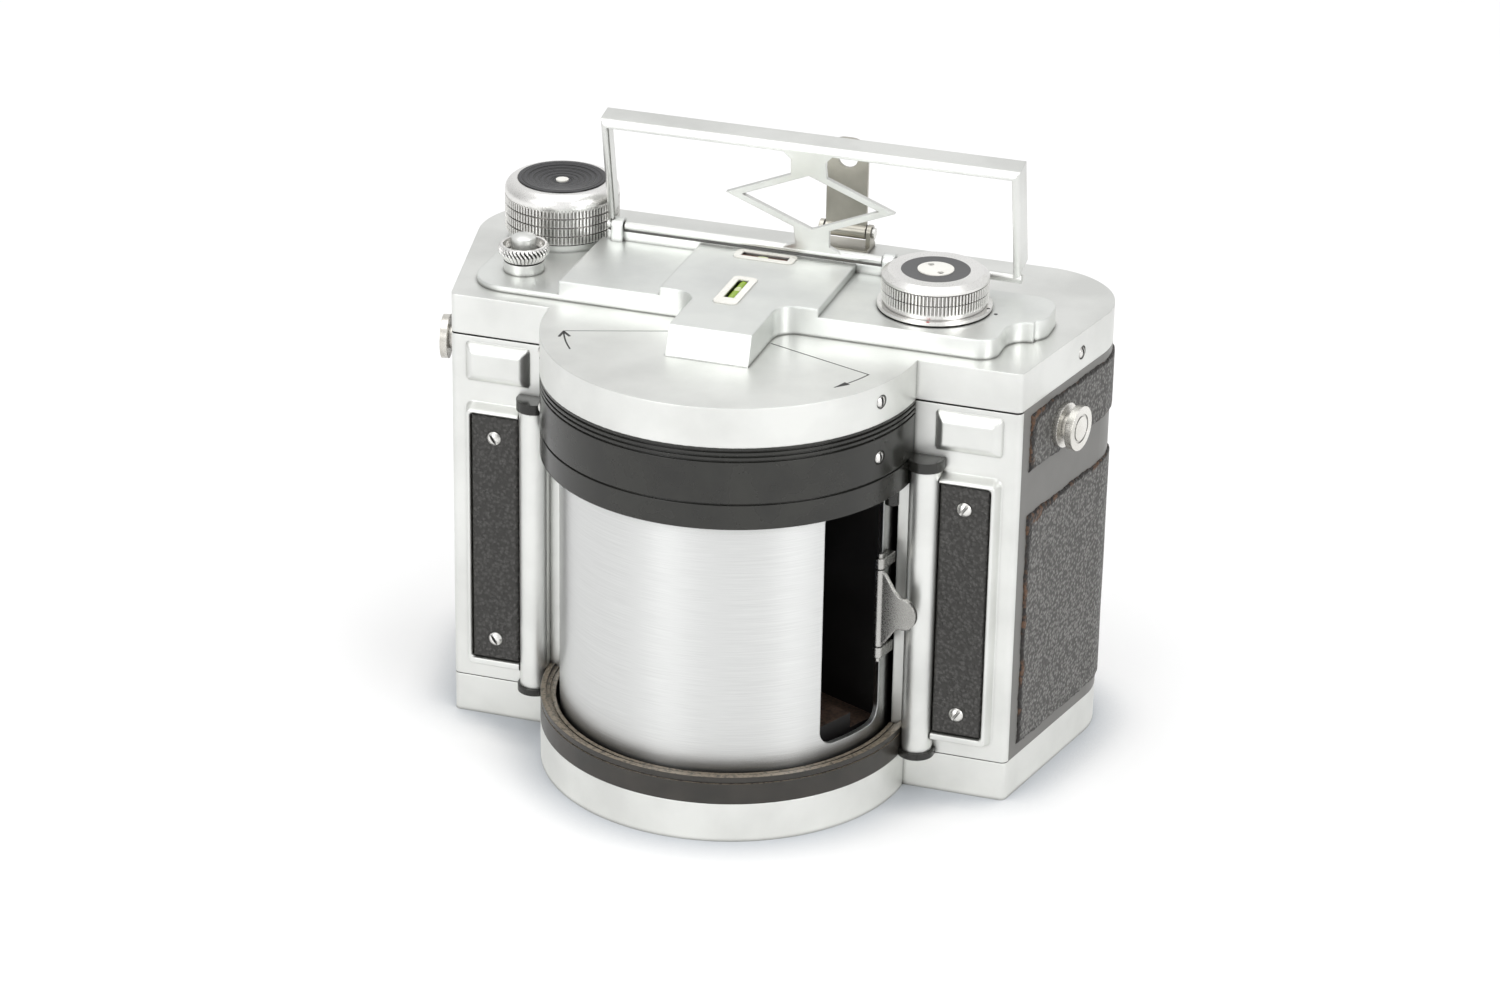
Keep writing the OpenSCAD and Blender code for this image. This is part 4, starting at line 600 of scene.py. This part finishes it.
def front_panel(side):
    """Slab of one panel: the front is the flat plus the relief, then an arc turns the outer corner to the side."""
    x = np.concatenate([np.linspace(PANEL_INNER, 45.2, 4), np.linspace(45.5, COLUMN_SIDE - 0.01, 12),
                        np.linspace(COLUMN_SIDE + 0.01, 61.0, 92), np.linspace(61.4, CORNER_X, 5)])
    across, up = np.meshgrid(x, np.linspace(*PANEL_Z, 320))
    turn = np.linspace(-math.pi / 2, -FLARE, 7)[1:]
    arc = np.stack([CORNER_X + CORNER * np.cos(turn), FRONT_Y + CORNER + CORNER * np.sin(turn)])
    arc = np.concatenate([arc, [[SIDE_X + (PANEL_REAR - FRONT_Y) * math.tan(FLARE)], [PANEL_REAR - 0.01]]], axis=1)
    arc = np.repeat(arc[:, None, :], len(up), axis=1)
    x = np.concatenate([across, arc[0]], axis=1)
    y = np.concatenate([FRONT_Y - relief(across, up), arc[1]], axis=1)
    z = np.repeat(up[:, :1], x.shape[1], axis=1)
    front = np.stack([side * x, y, z], axis=-1)
    rear = np.stack([side * x, np.full_like(y, PANEL_REAR), z], axis=-1)
    return slab(front, rear)


for side, word in ((-1, "left"), (1, "right")):
    piece(f"pressed_panel_{word}", [front_panel(side)], satin_aluminium, "camera_body",
          f"front_panel_{word}")

# %% [markdown]
# ## Leather pieces
#
# Leather is glued on by hand, so its edges roll down to the metal, wander a little, and are never quite straight. Each
# patch is a slab over a wall: the wall gives a point and an outward direction for a distance along it, and the
# leather's thickness is a rolled edge plus faint lumps. The side walls run straight, leaning out by the flare, and then
# follow the arc of the rear corner.

# %% Leather strips and patches
STRIP, STRIP_FOOT, STRIP_ROLL = ((47.5, 15.15), (58.5, 74.05)), 1.25, 1.17
SIDE_BANDS = {"upper": (76.0, 90.0), "lower": (11.4, 66.6)}
SIDE_START, SIDE_END = 3.2, 47.0
REAR_CORNER, REAR_R = np.array([53.94845, 40.5]), 18.5
WALL_FOOT = np.array([SIDE_X + (SIDE_START - FRONT_Y) * math.tan(FLARE), SIDE_START])
STRAIGHT = np.hypot(*(REAR_CORNER + REAR_R * np.array([math.cos(FLARE), -math.sin(FLARE)]) - WALL_FOOT))


def lumps(u, v):
    """Faint unevenness from three crossing waves some centimetres long, between -1 and 1."""
    return (np.sin(u * 0.31 + v * 0.17) + np.sin(u * 0.13 - v * 0.29 + 1.3) + np.sin(u * 0.47 + 2.1)) / 3


def wander(t, seed):
    """How far an edge creeps inward, from 0 to 0.7 mm: four waves of unlike length along the edge."""
    return 0.35 + 0.12 * np.sin(t * 0.37 + seed) + 0.1 * np.sin(t * 0.9 + 2 * seed) + \
        0.08 * np.sin(t * 2.3 + 3 * seed) + 0.05 * np.sin(t * 5.1 + seed)


def edge_distance(u, v):
    """Distance from each grid point to the nearest side of its grid."""
    return np.minimum(np.minimum(u - u[:, :1], u[:, -1:] - u), np.minimum(v - v[:1], v[-1:] - v))


def front_strip(side):
    """Strip in a panel's recess: its height in front of the panel is a foot, a rolled edge and faint lumps."""
    (left, low), (right, high) = STRIP
    x, z = np.meshgrid(np.linspace(left, right, 60), np.linspace(low, high, 260))
    height = STRIP_FOOT + STRIP_ROLL * rolled(edge_distance(x, z) / 0.9) + 0.03 * lumps(3 * x, 2 * z)
    return slab(np.stack([side * x, FRONT_Y - height, z], axis=-1),
                np.stack([side * x, np.full_like(x, FRONT_Y - RECESS_H - 0.01), z], axis=-1))


def side_wall(s, side):
    """Point and outward direction on a side wall, s mm along it from the front edge of the leather."""
    angle = np.maximum(s - STRAIGHT, 0) / REAR_R - FLARE
    out = np.stack([np.cos(angle), np.sin(angle)], axis=-1)
    run = WALL_FOOT + np.minimum(s, STRAIGHT)[..., None] * np.array([math.sin(FLARE), math.cos(FLARE)])
    bend = REAR_CORNER + REAR_R * out
    point = np.where((s > STRAIGHT)[..., None], bend, run)
    return point * (side, 1), out * (side, 1)


def side_patch(side, low, high, seed):
    """Slab over a side wall between two heights, with wandering edges; also gives each point's edge distance.

    The distance is lessened towards the upper front corner, where hands rub the hide bare first.
    """
    length = STRAIGHT + REAR_R * (math.asin((SIDE_END - REAR_CORNER[1]) / REAR_R) + FLARE)
    a, b = np.meshgrid(np.linspace(0, 1, 150), np.linspace(0, 1, int((high - low) * 3)))
    s0, s1 = wander(high * b, seed), length - wander(high * b, seed + 1)
    z0, z1 = low + wander(length * a, seed + 2), high - wander(length * a, seed + 3)
    s, z = s0 + a * (s1 - s0), z0 + b * (z1 - z0)
    edge = edge_distance(s, z)
    thick = 0.03 + 0.5 * rolled(edge / 0.9) + 0.04 * (lumps(s, z) - 1) * eased(edge / 2)
    point, out = side_wall(s, side)
    front = np.concatenate([point + np.maximum(thick, 0.02)[..., None] * out, z[..., None]], axis=-1)
    rear = np.concatenate([point, z[..., None]], axis=-1)
    rubbed = edge - 2.6 * np.exp(-np.hypot(s, high - z) / 6.0) - 0.7 * np.exp(-s / 1.2)
    return slab(front, rear), np.tile(rubbed.ravel(), 2)


piece("front_leather_strips", [front_strip(-1), front_strip(1)], front_leather, "camera_body",
      "front_leather")
for word, (low, high) in SIDE_BANDS.items():
    patches = [side_patch(side, low, high, 2.0 * side + high) for side in (-1, 1)]
    piece(f"side_leather_{word}", [skin for skin, _ in patches], side_leather, "camera_body",
          f"leather_{word}", edge=np.concatenate([edge for _, edge in patches]))

# %% [markdown]
# ## Marks
#
# Two fine lines and arcs engraved in the cover show how wide a view the lens sweeps, with an arrowhead at one end of
# each arc. They are filled with black: each is a ribbon along a path, as wide as the groove. The lettering between them
# is left off. Three dots of paint mark the speed scale. The speed knob's cap has two wrench holes, and the black disc
# in each is painted shade.

# %% Engraved lines and dots
DECK_Z, PLATE_Z, LINE_R, LINE_W = 100.4, 104.9, 35.82, 0.35
RAY, SWEEP = (10.2, 35.9), 70.0  # radii of the straight lines, and their bearing in degrees
ARC, SOLID_HEAD, OPEN_HEAD = (55.0, 69.7), (59.5, 53.6), (-69.4, -65.0)  # bearings in degrees
SPEED, DOT_OUT, DOT_R, DOT_Z = np.array([38.9, 18.2]), 11.8, 0.38, 105.2
HOLE_OUT, HOLE_R, HOLE_TURN = 2.5, 0.69, math.radians(50)


def polar(radius, bearing):
    """Point on the cover at this radius; bearing is in degrees from straight ahead, to the right."""
    angle = np.radians(bearing)
    return np.stack([radius * np.sin(angle), -radius * np.cos(angle)], axis=-1)


def ribbon(path, width, bottom, top):
    """Stack along a path in the cover's plane: each loop is a small upright rectangle across the path."""
    way = np.gradient(path, axis=0)
    way /= np.linalg.norm(way, axis=1)[:, None]
    off = np.stack([-way[:, 1], way[:, 0]], axis=-1) * np.broadcast_to(width, len(path))[:, None] / 2
    corners = [(path + off, bottom), (path - off, bottom), (path - off, top), (path + off, top)]
    return stack(np.stack([np.column_stack([p, np.full(len(p), z)]) for p, z in corners], axis=1))


def dot(place, radius, bottom, top):
    """Stack of two circles: a flat round spot."""
    turn = np.linspace(0, 2 * math.pi, 28, endpoint=False)
    circle = np.array(place) + radius * np.stack([np.cos(turn), np.sin(turn)], axis=-1)
    return stack(np.stack([np.column_stack([circle, np.full(28, z)]) for z in (bottom, top)]))


GROOVE = (DECK_Z - 0.19, DECK_Z - 0.04)
INKED = (DECK_Z - 0.1, DECK_Z + 0.015)
DOT_SPAN = (DOT_Z + 0.5, DOT_Z + 0.69)
lines = [ribbon(polar(np.linspace(*RAY, 8), s * SWEEP), LINE_W, *GROOVE) for s in (-1, 1)]
lines += [ribbon(polar(LINE_R, s * np.linspace(*ARC, 30)), LINE_W, *GROOVE) for s in (-1, 1)]
lines.append(ribbon(polar(LINE_R, np.linspace(*SOLID_HEAD, 10)), np.linspace(1.6, 0.06, 10), *INKED))
lines += [ribbon(np.linspace(polar(LINE_R, OPEN_HEAD[0]), polar(LINE_R + s * 1.15, OPEN_HEAD[1]), 5), 0.6, *INKED)
          for s in (-1, 1)]
piece("cover_lines", lines, line_black, "camera_body")
piece("deck_dot", [dot((52.4, 18.1), 0.42, PLATE_Z - 0.1, PLATE_Z + 0.015)], line_black, "camera_body")
piece("speed_dot_black", [dot(SPEED + (DOT_OUT, 0), DOT_R, *DOT_SPAN)], line_black, "speed_dial")
cap_top = np.array(nodes["speed_cap"].bound_box)[:, 2].max() / MM
across = HOLE_OUT * np.array([math.cos(HOLE_TURN), -math.sin(HOLE_TURN)])
# A black disc down in each hole stands for the shade inside it: painted shade.
holes = [dot(SPEED + s * across, HOLE_R, cap_top - 0.59, cap_top - 0.45) for s in (-1, 1)]
piece("speed_cap_hole_shade", holes, hole_shade_black, "speed_dial")
piece("speed_dot_red", [dot(SPEED + polar(DOT_OUT, 9.0), DOT_R, *DOT_SPAN)], dot_red, "speed_dial")

# %% [markdown]
# ## Wind cap
#
# The wind knob's black cap is a shallow dish with rings so fine that they show only in the reflections, and one deeper
# groove near its middle. Its section is a closed loop of radius and height, carried once round the knob's axis. The
# dish is part of a sphere, the rings are a cosine of the radius, and the groove is a bell curve.

# %% Wind cap
CAP_IN, CAP_OUT, DISH_LOW, DISH_R, RIM_H = 1.42, 9.6, 0.7, 40, 1.62
RIPPLE_H, RIPPLE_STEP, GROOVE_AT, GROOVE_H, GROOVE_W = 0.018, 0.55, 2.05, 0.12, 0.12
radius = np.linspace(CAP_IN, CAP_OUT, 240)
dish = np.minimum(DISH_LOW + DISH_R - np.sqrt(DISH_R ** 2 - radius ** 2), RIM_H)
dish += RIPPLE_H * np.cos(radius * 2 * math.pi / RIPPLE_STEP)
dish -= GROOVE_H * np.exp(-((radius - GROOVE_AT) / GROOVE_W) ** 2)
outside = [(CAP_OUT + 0.2, 1.6), (CAP_OUT + 0.28, 1.45), (CAP_OUT + 0.28, 0.02), (CAP_IN, 0.02)]
section = np.concatenate([np.stack([radius, dish], axis=-1), outside])
turn = np.linspace(0, 2 * math.pi, 144, endpoint=False)[:, None]
cap = np.stack([WIND_X + section[:, 0] * np.cos(turn), WIND_Y + section[:, 0] * np.sin(turn),
                CAP_Z + section[:, 1] + 0 * turn], axis=-1)
piece("turned_wind_cap", [stack(cap, joined=True)], turned_black, "winder", "wind_cap")

# %% [markdown]
# ## Release collar
#
# The collar round the release is also a section carried round its axis, but its rim has a diamond knurl, where two sets
# of slanted grooves cross. So the radius of the band depends on the height and on the angle. Its foot is a cone.

# %% Knurled release collar
COLLAR_R, COLLAR_H, CONE_H, CUP_R, CUP_FLOOR, BORE_R, FOOT_R = 5.6, 3.5, 1.3, 4.5, 1.1, 3.0, 4.4
KNURLS, KNURL_DEPTH, KNURL_SLANT = 36, 0.6, 0.75
collar_box = np.array(nodes["release_collar"].bound_box) / MM
collar_middle, collar_z = (collar_box.min(0) + collar_box.max(0))[:2] / 2, collar_box[:, 2].min()


def zigzag(t):
    """Go from 0 to 1 and back along straight lines, once for each whole step of t."""
    return 1 - np.abs(2 * (t - np.floor(t)) - 1)


def collar(turn):
    """Closed section of radius and height: cone, knurled band, rim, cup and bore, carried round the axis.

    Two sets of slanted grooves cross on the band, one deeper than the other, and the deeper counts at each point.
    """
    height = np.linspace(CONE_H + 0.35, COLLAR_H - 0.5, 26)
    step = turn * KNURLS / (2 * math.pi)
    lean = (height - CONE_H) * KNURL_SLANT
    groove = np.maximum(zigzag(step + lean), 0.6 * zigzag(step - lean)) ** 2
    band = COLLAR_R - KNURL_DEPTH * groove
    plain = np.array([(COLLAR_R - 0.45, COLLAR_H - 0.2), (COLLAR_R - 0.6, COLLAR_H), (CUP_R + 0.1, COLLAR_H),
                      (CUP_R, COLLAR_H - 0.1), (CUP_R, CUP_FLOOR), (BORE_R, CUP_FLOOR), (BORE_R, 0.02), (FOOT_R, 0.02)])
    radius = np.concatenate([band, np.broadcast_to(plain[:, 0], (len(turn), len(plain)))], axis=1)
    height = np.concatenate([height, plain[:, 1]]) + 0 * radius
    return np.stack([collar_middle[0] + radius * np.cos(turn), collar_middle[1] + radius * np.sin(turn),
                     collar_z + height], axis=-1)


piece("knurled_collar", [stack(collar(np.linspace(0, 2 * math.pi, KNURLS * 9, endpoint=False)[:, None]), joined=True)],
      diamond_knurl, "collar", "release_collar", sharp=18)

# %% [markdown]
# ## Bubbles
#
# The bubbles in the two levels are flattened ellipsoids that stand a hair above the glass.

# %% Bubbles
BUBBLES = [((-1.9, 8.4, 106.42), (0.7, 1.7, 0.3)), ((-2.4, 27.4, 106.42), (1.8, 0.7, 0.3))]  # middle and half sizes


def bubble(place, radii):
    """Stack of circles that shrink towards both ends, as the cosine of their height angle."""
    lift = np.radians(np.linspace(-85, 85, 15))[:, None]
    turn = np.linspace(0, 2 * math.pi, 24, endpoint=False)[None, :]
    unit = np.stack([np.cos(lift) * np.cos(turn), np.cos(lift) * np.sin(turn), np.sin(lift) + 0 * turn], axis=-1)
    return stack(np.array(place) + unit * radii)


piece("level_bubbles", [bubble(*one) for one in BUBBLES], air, "camera_body")
